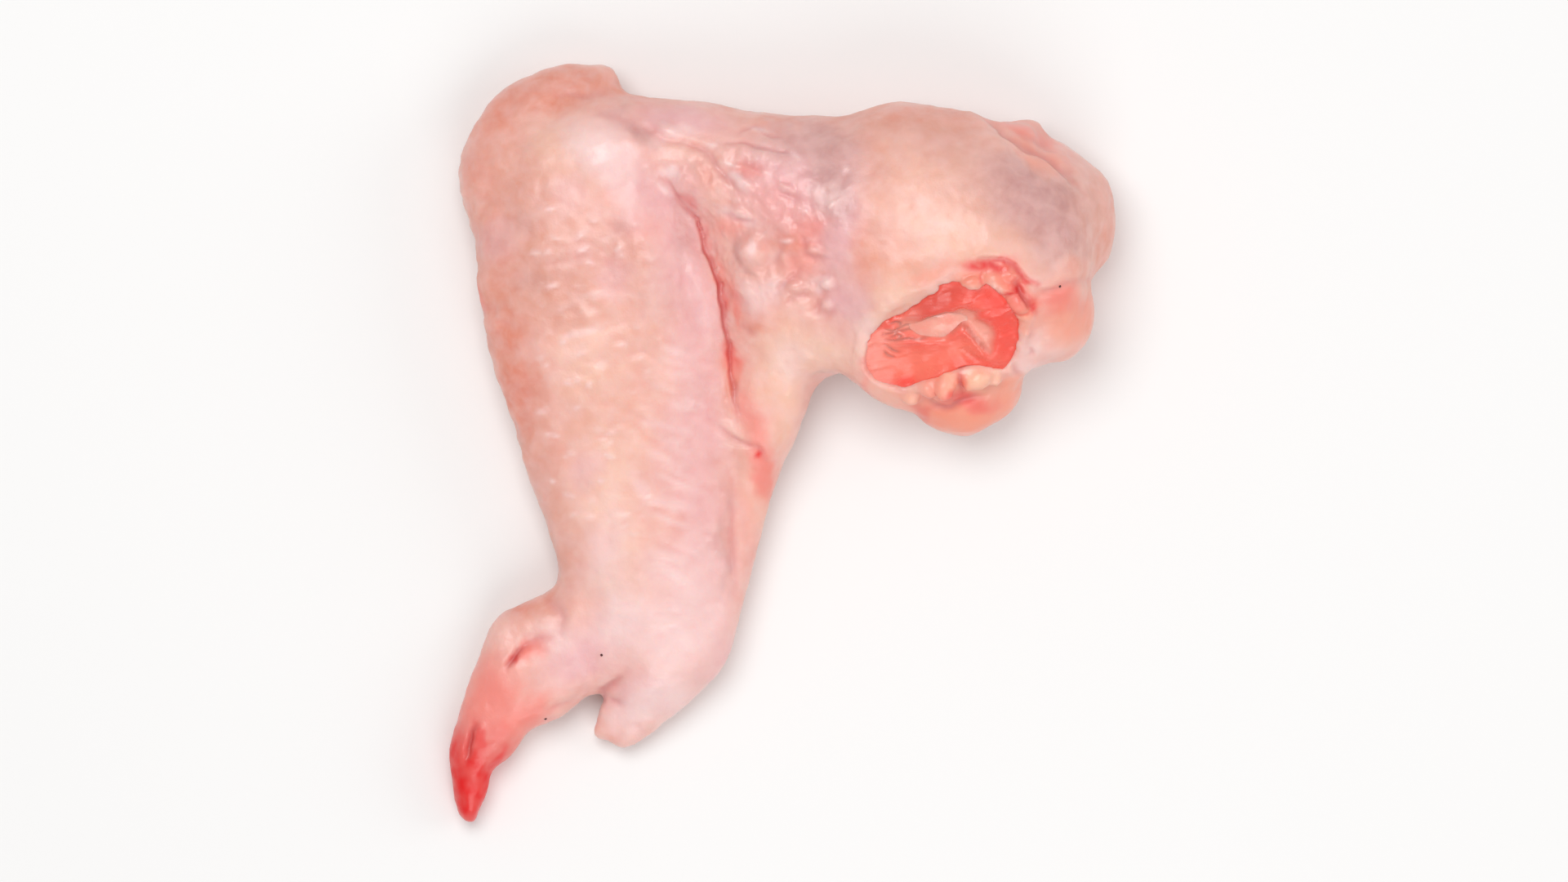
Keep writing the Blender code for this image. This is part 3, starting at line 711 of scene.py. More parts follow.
# %% [markdown]
# ## The torn rim
#
# The knife has left the skin's edge ragged, which noise along the rim gives. Inside the edge the skin is sunk,
# for the muscle's own face lies there, and a light relaxing of the whole region takes the sharpness out. The
# wing rests on its underside, so nothing may end up below the table.

# %% Tear the rim
TORN_DEPTH, TORN_FADE = 3.4, 1.6
UNDER_MUSCLE = 1.4

u, v, w = cut_coordinates(at)
round_the_cut = hump(oval_share(u, v), 1.0, 0.16) * rise(w, -TORN_DEPTH, TORN_FADE)
outwards = (u / CUT_HALF_LENGTH)[:, None] * CUT_X + (v / CUT_HALF_WIDTH)[:, None] * CUT_Y
tear = 0.7 * ripple(at, 3.4, seed=12.0) + 0.12 * ripple(at, 1.3, seed=14.0)
at += outwards * (round_the_cut * tear)[:, None] + normals * (0.3 * round_the_cut)[:, None]
_, beyond = round_cut(shaken(at, 2.4, 0.25, seed=16.0), CUT_OUTLINE)
_, _, w = cut_coordinates(at)
under_muscle = rise(beyond, 1.0, -0.05) * rise(w, -TORN_DEPTH, TORN_FADE)
at -= CUT_NORMAL * (UNDER_MUSCLE * under_muscle)[:, None]
calming = 0.35 * round_the_rim(at) + 0.15 * web_skin
for _ in range(2):
    at = relax(at, edges, calming[:, None])
at[:, 2] = np.maximum(at[:, 2], 0.0)
write_points(skin, at)
print("lowest point in mm:", round(float(at[:, 2].min()), 2))

# %% [markdown]
# ## Crests and valleys
#
# The tops of lumps get a painted highlight, pale as on wet flesh, and the hollows between them get painted
# shade, darker and pinker. To tell them apart, the finished skin is compared with a smoothed copy of itself: a
# point above the copy is on a crest.

# %% Tell crests from valleys
FULL_HEIGHT = 0.32
smoothed = at
for _ in range(14):
    smoothed = relax(smoothed, edges, 0.6)
above = np.einsum("ij,ij->i", at - smoothed, read_normals(skin)) / FULL_HEIGHT
# The crest mask carries a painted highlight and the valley mask painted shade, both mixed in the skin's
# material.
write_mask(skin, "crest", above)
write_mask(skin, "valley", -above)
write_mask(skin, "crease", crease_shade_mask)
write_mask(skin, "red_crease", red_crease_mask)
print("on crests:", int((above > 0.5).sum()), "in valleys:", int((above < -0.5).sum()))

# %% [markdown]
# ## Painting the skin
#
# Raw skin isn't one pink. It is peach over fat, cream where it is stretched, lavender over muscle, grey-blue
# where blood lies under it, and red at the hand's cut tip. Some of the grey is painted shade, beside the elbow's
# fold, round the large nodule and along the web's hem. Some of the pale is painted highlight: the sheen on the
# elbow, the glints on the web's bumps and short ridges, and paler paint on the thumb, which gets little light.
# A painter would lay these on with a soft round brush, so each colour gets a mask made of dabs: a place, half a
# length and width, a turn, and a strength where it isn't the usual one. Above the cut, blood has clotted in
# thin films. They are strokes, broken up by noise, and a thin red seam runs round the string of beads, where
# blood has crept in.

# %% Lay the blushes on as masks
BLUSHES = {
    "peach": [
        (-33, 44, 8, 8, 0), (22, 40, 13, 11, -12, 0.75), (17, 26, 7, 6, 30), (-27, 12, 9, 16, 8, 0.6),
        (0, 14, 5, 7, -15), (-1, 5, 3, 8, 12), (-4, -8, 2.4, 9, 12), (36, 34, 9, 8, 0), (46, 30, 4, 6, 0),
        (30, 30, 6, 3, 0),
    ],
    "salmon": [
        (-45, 46, 5, 9, 20, 0.3), (-37, 55, 10, 3.6, 12), (-36, 53.4, 6, 3, 0, 0.9), (-28, 56, 6, 3.6, 0),
        (-47, 30, 4.4, 10, 4), (-44, 22, 4.6, 8, 6), (-40.8, 8, 3.6, 12, 8), (-22, 53, 8, 1.8, -14),
        (-37, -25, 4, 2.4, 30), (24, 51, 16, 1.8, 0), (4, 49.8, 12, 1.4, 0), (50.4, 34, 2, 6, 8),
        (47, 17, 1.8, 5, 0), (-26, 50.6, 5, 2, -10, 0.4),
    ],
    "orange": [
        (-36, 54.6, 7, 3, 5, 0.3), (-41, 8.2, 2.6, 4, 8), (-40, 3.8, 2.2, 3, 0, 0.6),
        (-42.6, 17, 3, 4, 10, 0.6), (-44, 50, 5, 3, 50, 0.5), (-46.8, 42, 2.6, 3.6, 0, 0.3),
        (-40.6, -24.8, 2.4, 1.4, 35), (-12.6, 41.2, 3.4, 1.8, -40, 0.4), (0.6, 31, 2.4, 2, 0),
        (-4.4, 19.6, 2.6, 1.6, -35), (-8, 9.6, 1.4, 3.4, 0), (11.6, 30, 1.6, 5, 0, 0.35),
        (13.4, 25, 2.6, 3, 0, 0.35), (16, 28, 5, 5, 0, 0.4), (-41, -46.4, 4, 1.2, 44),
        (45, 26.6, 3, 1.6, 0, 0.5), (47.6, 30, 2.4, 4, 0, 0.3), (-2.4, -6, 1.8, 4, 14, 0.5),
    ],
    "tan": [
        (-41, 39, 6, 10, 8), (-42.4, 28, 3, 4, 0, 0.5), (-39, 27, 5, 8, 0), (-34, 22, 7, 5, 10),
        (-25, 28, 6, 3.4, 0, 0.6), (-31.6, 30.4, 5, 5, 0, 0.7), (38.6, 37, 6, 5, 0, 0.5),
        (-36, 53.6, 5, 3, 0, 0.6), (-29, 5, 5, 6, 0, 0.4), (-37.6, 0, 3, 12, 10, 0.6),
        (-34, -16, 2.6, 9, 0, 0.6), (20, 48.6, 12, 2.2, -4), (44, 35, 5, 6, -30), (14, 40, 4, 8, 0, 0.5),
        (-10.6, -1.6, 2, 1.6, 0, 0.6), (-10, -7.6, 2.4, 2, 0, 0.6), (47.8, 30.4, 3.4, 5, 0, 0.85),
    ],
    "cream": [
        (-30, 12, 5, 6, 0, 0.5), (-27, -6, 6, 9, 0, 0.7), (-26, -20, 5, 8, 0, 0.7), (1, 13, 4, 5, -15),
        (0, 6, 2.4, 4, 12, 0.6), (7, 14, 6, 3, -10), (16, 24, 4, 4, 30), (22, 32, 5, 4, -20, 0.5),
        (14, 17, 3, 4, 30), (-36, 46, 3, 3, 0, 0.4), (40, 16, 3.6, 2.4, 0, 0.7), (16.4, 7.2, 3, 1.6, -20, 0.6),
    ],
    "lavender": [
        (-15, 27, 4, 12, 10, 0.7), (-12.6, 12, 3.6, 14, 4, 0.6), (-20, 37, 6, 5, -20, 0.7),
        (-14, -2, 5, 12, 6, 0.5), (-12, -18, 4.4, 14, 6, 0.6), (-31, -32, 7, 4, 35), (-16, 49.4, 7, 2.4, -12),
        (2, 40, 9, 8, -10), (8, 33, 3.6, 9, 0), (-26, 25, 3, 4, 0, 0.5), (-22, -38, 6, 4, 0, 0.7),
        (-8.6, -34, 4, 6, -40, 0.6), (-33, 38, 3, 3, 0, 0.4), (-24.6, 42.6, 5, 4, -20, 0.5),
        (-31, 30, 2.4, 3, 0, 0.3), (-30, -4, 2.2, 3.4, 0, 0.5), (-28, -16, 2.4, 3.4, 0, 0.4),
        (-44, 31, 3, 3, 0, 0.4), (10, 22, 3, 4, 0),
    ],
    # Partly blood under the skin, partly painted shade beside the elbow's fold, the large nodule and the web's
    # hem.
    "grey": [
        (39, 37, 7, 5, -35), (42, 31, 5, 4.4, 0, 0.7), (35, 42, 4, 3, -20, 0.6),
        (-21, 47.4, 3.4, 1.5, -28, 0.7), (-26.4, 50.8, 2.6, 1.2, -10, 0.5), (4, 46.4, 8, 3, 0, 0.6),
        (7, 40, 3.6, 7, 0, 0.9), (-38.2, 25, 2.4, 2, 0, 0.35), (-24.6, 33.6, 2, 1.8, 0, 0.5),
        (-39.4, 33.4, 2.4, 1.8, 0, 0.35), (-16, 33, 1.6, 5, 12, 0.4), (-9, -16, 1, 8, 0, 0.35),
        (36, 38, 8, 6, -35, 0.6), (26, 44, 6, 4.6, -15, 0.25), (-7, 29.8, 0.8, 2.2, 0, 0.6),
        (-5.4, 27, 1.8, 0.7, -25, 0.5), (-18.6, 23, 3, 6, 5, 0.3), (38.6, 37, 4, 3.6, 0, 0.4),
    ],
    # Partly the skin's own paleness, partly painted highlight: the elbow's sheen, glints on bumps, the thumb.
    "pale": [
        (-28.4, 45.6, 5.6, 5, -15, 0.8), (-25, 41, 3.4, 2.6, 0, 0.6), (-19.4, 3.4, 3, 1.1, -16, 0.45),
        (-18.4, -3, 2.6, 1, -20, 0.45), (-21, -7.4, 1.2, 2.6, 30, 0.5), (-17.6, -9.6, 2.8, 1.2, -14, 0.5),
        (-18, -18.6, 4.4, 3, -18, 0.6), (-14, 6.4, 2.8, 1, -14, 0.45), (-24.6, -27, 5, 5.6, 0),
        (-15, -27, 7, 7, 0), (-34.6, -29.4, 4, 2.4, 10, 0.6), (-4.8, 22.4, 2.2, 3, 30, 0.6),
        (-6.2, 39.6, 1.8, 0.9, -40), (-4.6, 29.8, 1.1, 1.3, 0, 0.7), (6.5, 24.5, 1.2, 1.1, 0),
        (-17.2, 40.6, 1.3, 0.9, -50), (-2, 24, 2.4, 2, 0, 0.6), (-7, 35, 3, 1, -20),
        (-16.4, 47.4, 2.2, 0.9, 0, 0.6), (-28.4, 22, 2, 0.8, 10, 0.5), (-30.4, 17, 2.6, 0.8, 6, 0.5),
        (5.4, 38, 2.2, 1, -20, 0.5), (-19, -39, 7, 4, 25), (1, 12, 3, 3.4, 0, 0.4), (-26, -12, 2.2, 4, 0, 0.4),
        (-28, -18.6, 4, 5, 0, 0.5), (-18, -31, 5, 5, 0, 0.6), (-14, -18.6, 4, 5, 0, 0.4),
        (-24.6, -41.6, 4, 3, 0, 0.6), (39, 15.6, 3.6, 2.4, 0, 0.7), (37.4, 11.8, 1.8, 1.8, 0, 0.6),
        (12.6, 17.4, 2.2, 2.6, 30, 0.5),
    ],
    "fatty": [
        (43.4, 19.4, 5.4, 5, 0, 0.75), (28, 4.6, 9, 3.6, 6, 0.95), (34.6, 7.8, 3, 2.6, 30),
        (17.4, 7.6, 4.4, 2, -24, 0.3), (36.4, 20, 1.6, 3.4, 0, 0.7), (25.6, 8.6, 7, 2.2, 6),
        (33.6, 24.8, 4, 2, -35), (35.9, 21.6, 2.2, 1.8, -45), (28.6, 24.8, 2.2, 1.6, 0, 0.8),
        (22.6, 25.6, 4, 1.4, 25, 0.5), (38, 44.6, 5, 1.6, -35, 0.5),
    ],
    "coral": [
        (33.4, 24.9, 3.4, 1.7, -35, 0.42), (35.8, 21.6, 2, 1.6, -45, 0.42), (28.6, 24.8, 1.8, 1.4, 0, 0.3),
        (27.9, 6.2, 5.4, 1.6, 6, 0.15), (22.6, 4.7, 3, 2, 0, 0.2),
    ],
    "pink": [
        (-0.6, 36.4, 4.4, 3.6, -30, 0.25), (2.6, 27.6, 3, 3.6, 0, 0.45), (-8.6, 33, 2.6, 2, 0, 0.4),
        (-3.4, -4.6, 1.8, 5, 12, 0.75), (-7.7, 12.2, 1.1, 2.8, 10, 0.6), (-5, -12, 1.6, 5, 12, 0.15),
        (-4.8, 3, 1.6, 6, 8, 0.6), (-38.6, -31.6, 3.2, 1.5, 28, 0.7), (-39.8, -32.2, 2, 1.1, 45, 0.8),
        (-45, -38.6, 5, 6, 20, 0.85), (-40, -42, 5, 2.4, 40), (35.4, 48.2, 5, 1.6, -20, 0.55),
        (41, 45.2, 3.4, 1.4, -40, 0.3), (41.4, 21.8, 3.6, 2.2, 0), (12.7, 12.6, 1, 3.6, 0, 0.6),
        (31.4, 27.2, 3.6, 1.3, -4, 0.75), (36.2, 23.4, 2.8, 1.3, -60, 0.8), (33.4, 24.9, 3.2, 1.5, -35, 0.5),
        (35.8, 21.6, 1.8, 1.4, -45, 0.55), (28.6, 24.6, 1.6, 1.2, 0, 0.3), (-23, 33, 2.6, 2.4, 0, 0.15),
        (27.4, 6.4, 5, 1, 6), (-8.4, 24.6, 0.9, 5, 18, 0.5), (-7.6, 20.4, 0.8, 2.6, 15, 0.55),
        (23, 8.4, 3, 1.4, 0, 0.45), (-47, 21.6, 1.6, 1.8, 0), (4, 33, 3, 2.4, 0, 0.5),
        (-4.6, 41.6, 2, 1.4, 0, 0.5),
    ],
    "red": [
        (-44.9, -48.8, 3.8, 1.9, 55, 0.9), (-46.9, -45.2, 1.2, 3.4, -12, 0.8), (-49.8, -45.6, 1.6, 2.8, 0, 0.6),
        (-41.8, -33.4, 1, 0.6, 55, 0.7), (-3.9, -1.2, 0.6, 0.8, 0), (-15, 36.6, 0.6, 1.4, 40, 0.25),
        (-12.4, 31.8, 0.6, 2.2, 20, 0.25), (-9.5, 22.6, 0.7, 1.8, 10, 0.45), (-8.1, 14, 0.9, 2, 8, 0.45),
        (27.9, 6.4, 3, 0.8, 6, 0.2), (27.1, 7, 1.6, 0.9, 0, 0.5), (21.1, 4.7, 1.2, 1.6, 0, 0.4),
        (-47.2, 22.6, 0.8, 0.9, 0, 0.6), (26.9, 9.4, 0.5, 1.4, 0, 0.4),
    ],
}
CLOTS = [
    ([(28, 27.2), (29.6, 27.2), (31.4, 27.3)], 0.9, 1),
    ([(31, 27.7), (31.9, 27.1), (32.7, 26.8), (33.6, 27.1)], 0.7, 1),
    ([(31.6, 27.9), (32.6, 28.2), (33.5, 27.9), (33.7, 27.3)], 0.3, 0.8),
    ([(33.7, 28.2), (34.9, 27.3), (35.6, 26), (36.6, 25), (37.6, 24.7), (38.5, 24.3)], 0.5, 0.8),
    ([(35.1, 24.3), (35.6, 23.6), (35.9, 22.9)], 0.9, 1), ([(33.2, 22.9), (34.2, 22.8), (35.2, 23)], 0.3, 0.8),
    ([(37.5, 21.6), (37.8, 20.9), (38, 20.3)], 0.65, 0.95),
]
BLUSHES["bead"] = [(x, y, 0.95 * a, 0.95 * b, turn, paleness) for x, y, a, b, turn, paleness, _ in BEADS]
USUAL_STRENGTH = 0.85
STRING = BEADS[1:5]
SEAM_AT, SEAM_WIDTH, SEAM_STRENGTH = 1.25, 0.2, 0.45

loose = shaken(shaken(at, 6.0, 1.6, seed=2.0), 1.8, 0.7, seed=8.0)
not_under = np.clip(read_normals(skin)[:, 2] * 2.0 + 1.0, 0.0, 1.0)
towards_tip = -0.55 * loose[:, 0] - 0.83 * loose[:, 1]
tip = rise(towards_tip, 58.6, 8.5) ** 0.8 * (0.92 + 0.16 * ripple(at, 2.4, seed=41.0))
in_clots = shaken(at, 1.4, 0.35, seed=27.0)
clotted = np.clip(1.0 + 0.6 * ripple(at, 1.2, seed=23.0), 0.55, 1.0)
for name, dabs in BLUSHES.items():
    mask = np.zeros(len(at))
    for x, y, half_length, half_width, turn, *strength in dabs:
        spot = dab(at if name == "bead" else loose, x, y, half_length, half_width, turn)
        mask = 1.0 - (1.0 - mask) * (1.0 - (strength or [USUAL_STRENGTH])[0] * spot)
    mask *= not_under
    if name == "red":
        on_string = np.max([dab(in_clots, *bead[:5]) for bead in STRING], axis=0)
        seam = hump(np.cbrt(-np.log(np.maximum(on_string, 1e-9))), SEAM_AT, SEAM_WIDTH)
        mask = np.max([mask, tip, SEAM_STRENGTH * seam * clotted], axis=0)
        for route, width, strength in CLOTS:
            mask = np.maximum(mask, strength * stroke(in_clots, route, width, fade=0.25) * clotted)
    # The bands are paler skin; painting the short ridges paler is a painted highlight.
    if name == "pale":
        mask = np.max([mask, 0.6 * band_mask, 0.75 * glint_mask], axis=0)
    write_mask(skin, name, mask)
print("blushes:", ", ".join(BLUSHES))

# %% [markdown]
# ## Colours
#
# Colours are named as the eye sees them, from 0 to 255 a channel. Shaders mix light, so each is made linear.

# %% Turn a seen colour into light
def tone(red, green, blue):
    def linear(seen):
        share = seen / 255
        return share / 12.92 if share < 0.04045 else ((share + 0.055) / 1.055) ** 2.4

    return (linear(red), linear(green), linear(blue), 1.0)


print("a flesh tone in linear light:", [round(c, 3) for c in tone(242, 182, 168)])

# %% [markdown]
# ## Node helpers
#
# A material is a graph. These helpers add a node with its values and links, so each step reads as one line.

# %% Small helpers for node graphs
def feed(tree, socket, value):
    """Links the value to the socket if it comes out of a node, and else sets it on the socket."""
    if isinstance(value, bpy.types.NodeSocket):
        tree.links.new(value, socket)
    else:
        socket.default_value = value


def add_node(tree, kind, inputs=(), **settings):
    made = tree.nodes.new(kind)
    for setting, value in settings.items():
        setattr(made, setting, value)
    for key, value in dict(inputs).items():
        feed(tree, made.inputs[key], value)
    return made


def math_node(tree, operation, a, b):
    return add_node(tree, "ShaderNodeMath", {0: a, 1: b}, operation=operation).outputs[0]


def mix_colours(tree, share, under, over, strength=None):
    """Lays a colour over another by a share, which the strength weakens."""
    if strength is not None:
        share = math_node(tree, "MULTIPLY", share, strength)
    return add_node(tree, "ShaderNodeMix", {0: share, 6: under, 7: over}, data_type="RGBA").outputs[2]


def noise_node(tree, where, scale, detail, **more):
    inputs = {"Vector": where, "Scale": scale, "Detail": detail, **more}
    return add_node(tree, "ShaderNodeTexNoise", inputs).outputs["Fac"]


def map_range(tree, value, start, end, low=0.0, high=1.0):
    inputs = {"Value": value, "From Min": start, "From Max": end, "To Min": low, "To Max": high}
    return add_node(tree, "ShaderNodeMapRange", inputs).outputs[0]


def new_group(name, values, results):
    """A shader node group that takes places and named values; it returns the group and its two ends."""
    group = bpy.data.node_groups.new(name, "ShaderNodeTree")
    group.interface.new_socket(name="Where", in_out="INPUT", socket_type="NodeSocketVector")
    for label, value in values.items():
        socket = group.interface.new_socket(name=label, in_out="INPUT", socket_type="NodeSocketFloat")
        socket.default_value = value
    for label in results:
        group.interface.new_socket(name=label, in_out="OUTPUT", socket_type="NodeSocketFloat")
    return group, group.nodes.new("NodeGroupInput").outputs, group.nodes.new("NodeGroupOutput").inputs


def place_group(tree, group, **inputs):
    """A group in a material, with its inputs given by name."""
    named = {label.replace("_", " "): value for label, value in inputs.items()}
    return add_node(tree, "ShaderNodeGroup", named, node_tree=group)


# %% [markdown]
# ## Mottle
#
# Blood vessels and fat under the surface break every flesh colour into patches, on the skin, on the muscle and
# on the cartilage alike. One group makes them: a slow noise for patches and a finer one for flecks, both as
# masks.

# %% The mottle group
mottle, inside, outside = new_group("Flesh mottle", {"Patch Scale": 180.0, "Fleck Scale": 700.0},
                                    ["Patches", "Flecks"])
slow = noise_node(mottle, inside["Where"], inside["Patch Scale"], 3.0, Distortion=0.3)
fast = noise_node(mottle, inside["Where"], inside["Fleck Scale"], 2.0)
feed(mottle, outside["Patches"], map_range(mottle, slow, 0.34, 0.66))
feed(mottle, outside["Flecks"], map_range(mottle, fast, 0.48, 0.74))
print("group:", mottle.name)

# %% [markdown]
# ## Grain
#
# Skin has a net of tiny pores and lines, far finer than the mesh. They change no outline, so a height for a
# Bump node is enough. The same group gives the muscle its fibres, when the places it reads are stretched.

# %% The grain group
grain, inside, outside = new_group("Flesh grain", {"Pore Scale": 900.0, "Line Scale": 2200.0}, ["Height"])
cells = {"Vector": inside["Where"], "Scale": inside["Pore Scale"], "Randomness": 1.0}
pores = add_node(grain, "ShaderNodeTexVoronoi", cells, feature="SMOOTH_F1").outputs["Distance"]
lines = noise_node(grain, inside["Where"], inside["Line Scale"], 3.0)
bowl = math_node(grain, "MULTIPLY", pores, 0.7)
net = math_node(grain, "MULTIPLY", lines, 0.5)
feed(grain, outside["Height"], math_node(grain, "ADD", bowl, net))
print("group:", grain.name)

# %% [markdown]
# ## Wetness
#
# A raw wing is moist but not dripping: the shine comes and goes in patches. The group turns one noise into a
# roughness and into the weight of a thin clear coat, which stands for the film of water.

# %% The wetness group
wetness, inside, outside = new_group(
    "Wet film", {"Patch Scale": 120.0, "Wettest": 0.25, "Driest": 0.5, "Film": 0.4}, ["Roughness", "Coat"])
film = noise_node(wetness, inside["Where"], inside["Patch Scale"], 4.0, Roughness=0.6)
feed(wetness, outside["Roughness"], map_range(wetness, film, 0.35, 0.65, inside["Wettest"], inside["Driest"]))
feed(wetness, outside["Coat"], map_range(wetness, film, 0.65, 0.35, 0.0, inside["Film"]))
print("group:", wetness.name)

# %% [markdown]
# ## What all flesh shares
#
# Light enters raw flesh a millimetre or two and comes out warmer, which subsurface scattering gives. The pieces
# share this, the wet film, the fine grain and the way of painting: a tone is laid over the colour by the mask
# that has its name. So one helper makes each of them.

# %% Build a flesh material
def flesh_material(name, colour, coat_roughness, scatter, scatter_reach):
    """A Principled material with scattering; it returns the material, tree, shader and places."""
    material = bpy.data.materials.new(name)
    material.use_nodes = True
    tree = material.node_tree
    shader = tree.nodes["Principled BSDF"]
    shader.inputs["Base Color"].default_value = colour
    shader.inputs["Coat Roughness"].default_value = coat_roughness
    shader.inputs["Subsurface Weight"].default_value = scatter
    shader.inputs["Subsurface Radius"].default_value = (1.0, 0.38, 0.22)
    shader.inputs["Subsurface Scale"].default_value = scatter_reach * MM
    where = add_node(tree, "ShaderNodeTexCoord").outputs["Object"]
    return material, tree, shader, where


def wet_surface(tree, shader, where, **film):
    moist = place_group(tree, wetness, Where=where, **film)
    feed(tree, shader.inputs["Roughness"], moist.outputs["Roughness"])
    feed(tree, shader.inputs["Coat Weight"], moist.outputs["Coat"])


def fine_surface(tree, shader, where, distance, **scales):
    height = place_group(tree, grain, Where=where, **scales).outputs["Height"]
    bump = add_node(tree, "ShaderNodeBump", {"Height": height, "Strength": 0.4, "Distance": distance * MM})
    feed(tree, shader.inputs["Normal"], bump.outputs["Normal"])


def painted(tree, colour, tones, strength=None):
    """Lays each tone over the colour, where the mask of its name is."""
    for name, seen in tones.items():
        mask = add_node(tree, "ShaderNodeAttribute", attribute_name=name).outputs["Fac"]
        colour = mix_colours(tree, mask, colour, seen, strength)
    return colour


def dress(obj, material, tree, shader, colour):
    feed(tree, shader.inputs["Base Color"], colour)
    obj.data.materials.append(material)
    obj.data.shade_smooth()


# %% [markdown]
# ## The skin's material
#
# The base is a soft peach pink, broken by mottle. Over it go the blushes, from the broad and pale ones to the
# narrow red ones. Between them lie pale blotches and faint bruises, so that no blush looks like one coat of
# paint, and a painted highlight on the crests. Last comes painted shade in the hollows and creases, which are
# darker than all around them.

# %% Paint the skin
# The pale tone is partly painted highlight, and the grey tone partly painted shade.
BROAD_TONES = {
    "peach": tone(244, 186, 162), "tan": tone(226, 156, 134), "salmon": tone(231, 150, 127),
    "cream": tone(252, 206, 184), "lavender": tone(238, 182, 186), "grey": tone(198, 146, 142),
    "orange": tone(232, 130, 102), "pale": tone(253, 218, 216),
}
STRONG_TONES = {
    "fatty": tone(252, 158, 132), "bead": tone(255, 194, 166), "coral": tone(255, 118, 86),
    "pink": tone(246, 134, 122), "red": tone(231, 5, 5),
}
skin_material, tree, shader, where = flesh_material("raw_chicken_skin", tone(242, 182, 168), 0.15, 0.3, 1.8)
patchwork = place_group(tree, mottle, Where=where, Patch_Scale=260.0, Fleck_Scale=900.0)
blotches = place_group(tree, mottle, Where=where, Patch_Scale=340.0, Fleck_Scale=1500.0)
bruises = place_group(tree, mottle, Where=where, Patch_Scale=210.0, Fleck_Scale=1200.0)
colour = mix_colours(tree, patchwork.outputs["Patches"], tone(244, 186, 172), tone(238, 168, 154), 0.7)
colour = painted(tree, colour, BROAD_TONES)
colour = mix_colours(tree, blotches.outputs["Patches"], colour, tone(250, 208, 202), 0.34)
colour = mix_colours(tree, bruises.outputs["Patches"], colour, tone(214, 156, 152), 0.2)
# Painted highlight: the crests of the lumps are painted paler.
colour = painted(tree, colour, {"crest": tone(252, 216, 208)}, 0.3)
colour = painted(tree, colour, STRONG_TONES)
# Painted shade: the hollows and the creases without blood are painted darker.
colour = painted(tree, colour, {"valley": tone(228, 128, 118), "crease": tone(206, 132, 134)}, 0.4)
colour = painted(tree, colour, {"red_crease": tone(204, 74, 72)}, 0.75)
wet_surface(tree, shader, where, Patch_Scale=160.0, Wettest=0.3, Driest=0.48, Film=0.32)
fine_surface(tree, shader, where, 0.13, Pore_Scale=1000.0, Line_Scale=2600.0)
dress(skin, skin_material, tree, shader, colour)
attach(skin, "root")
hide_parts("wing_skin")
print("skin tones:", len(BROAD_TONES) + len(STRONG_TONES))

# %% [markdown]
# ## The muscle in the cut
#
# The knife went through the shoulder joint. The cut shows an arch of wet red muscle, under it the pale head of
# the bone, and below that a flap of muscle that laps over the bone with a pointed edge. A thin film of flesh
# covers the bone too, so both are wrapped as one here. The edge is slid under the skin's rim, so that no gap
# shows.

# %% Wrap the muscle and fit it under the skin's rim
BURIED = 0.5
SLID_UNDER = 1.3


def cut_point(u, v, w):
    return CUT_MIDDLE + u[:, None] * CUT_X + v[:, None] * CUT_Y + w[:, None] * CUT_NORMAL


def cut_level(u, v):
    """The height of the cut's face: a leaning plane in its middle, and just under the skin's rim at its edge."""
    leaning = 0.3 + 0.055 * u - 0.11 * v
    angle, beyond = round_cut(cut_point(u, v, leaning), CUT_OUTLINE)
    at_edge = np.interp(angle, RIM_STEPS, rim, period=2 * np.pi) + 0.25
    share = eased(rise(beyond, 0.35, 0.65))
    return (1.0 - share) * leaning + share * at_edge - BURIED


rim = rim_heights(read_mesh(skin)[0], read_normals(skin))
muscle = wrapped_copy("cut_muscle", 0.5, "drumette_muscle", "humerus", swell=0.2)
at, edges = read_mesh(muscle)
at = smooth_keeping_volume(at, edges, rounds=5)
write_points(muscle, fit_to_outline(at, inner_reach=0.35, outer_reach=0.25, depth=9.0, extra=SLID_UNDER))
apply_modifier(muscle, "SUBSURF", levels=1, render_levels=1)
print("muscle faces:", len(muscle.data.polygons))

# %% [markdown]
# ## Arch, flap and window
#
# The arch's edge and the flap's edge enclose a window in plan, through which the bone shows. A point's distance
# to the window's edge, minus outside it, tells how much of the bone shows. Towards the left the edge is blurred
# more.

# %% Draw the window
ARCH_EDGE = [
    (17.5, 18.2), (18.2, 18.9), (20.9, 18.7), (22.8, 19.2), (24.5, 20.1), (25.8, 20), (27.7, 20.5), (29, 20.1),
    (29.4, 19), (30.4, 18.5), (31.4, 17.9), (31.8, 16.3), (31.5, 14.5),
]
FLAP_EDGE = [
    (31.3, 14.2), (30.4, 14.9), (29, 16.3), (27.7, 17.9), (27, 18.3), (26.3, 18), (25.5, 17.2), (24.5, 16.2),
    (22.8, 16.2), (20.7, 16.4), (18.8, 17.1), (17.7, 17.6),
]
HAIR_LINES = [
    [(15, 16.5), (16.6, 17.2), (19, 17.3), (21.4, 17.1)],
    [(15.4, 15.7), (18.1, 16.2), (20.4, 16.1), (22.4, 16.4)], [(15.4, 15), (16.4, 14.4), (17.6, 14.1)],
    [(15.2, 14.2), (15.8, 13.6), (16.8, 13.3)], [(16, 18.6), (17, 18.9), (17.6, 18.6), (17.8, 17.8)],
    [(21, 18.9), (22.4, 19.4), (24.2, 19.2)], [(16.2, 16.4), (17, 16.9), (17.8, 16.6), (17, 16.1)],
    [(15.4, 17.6), (16.6, 17.4), (18.6, 17.9), (20.6, 17.8)],
]


def inside_outline(points, outline):
    """Whether each point lies inside a closed outline in plan."""
    inside = np.zeros(len(points), dtype=bool)
    for (x1, y1), (x2, y2) in zip(outline, outline[1:] + outline[:1]):
        if y1 != y2:
            crosses = (points[:, 1] > y1) != (points[:, 1] > y2)
            inside ^= crosses & (points[:, 0] < (x2 - x1) * (points[:, 1] - y1) / (y2 - y1) + x1)
    return inside


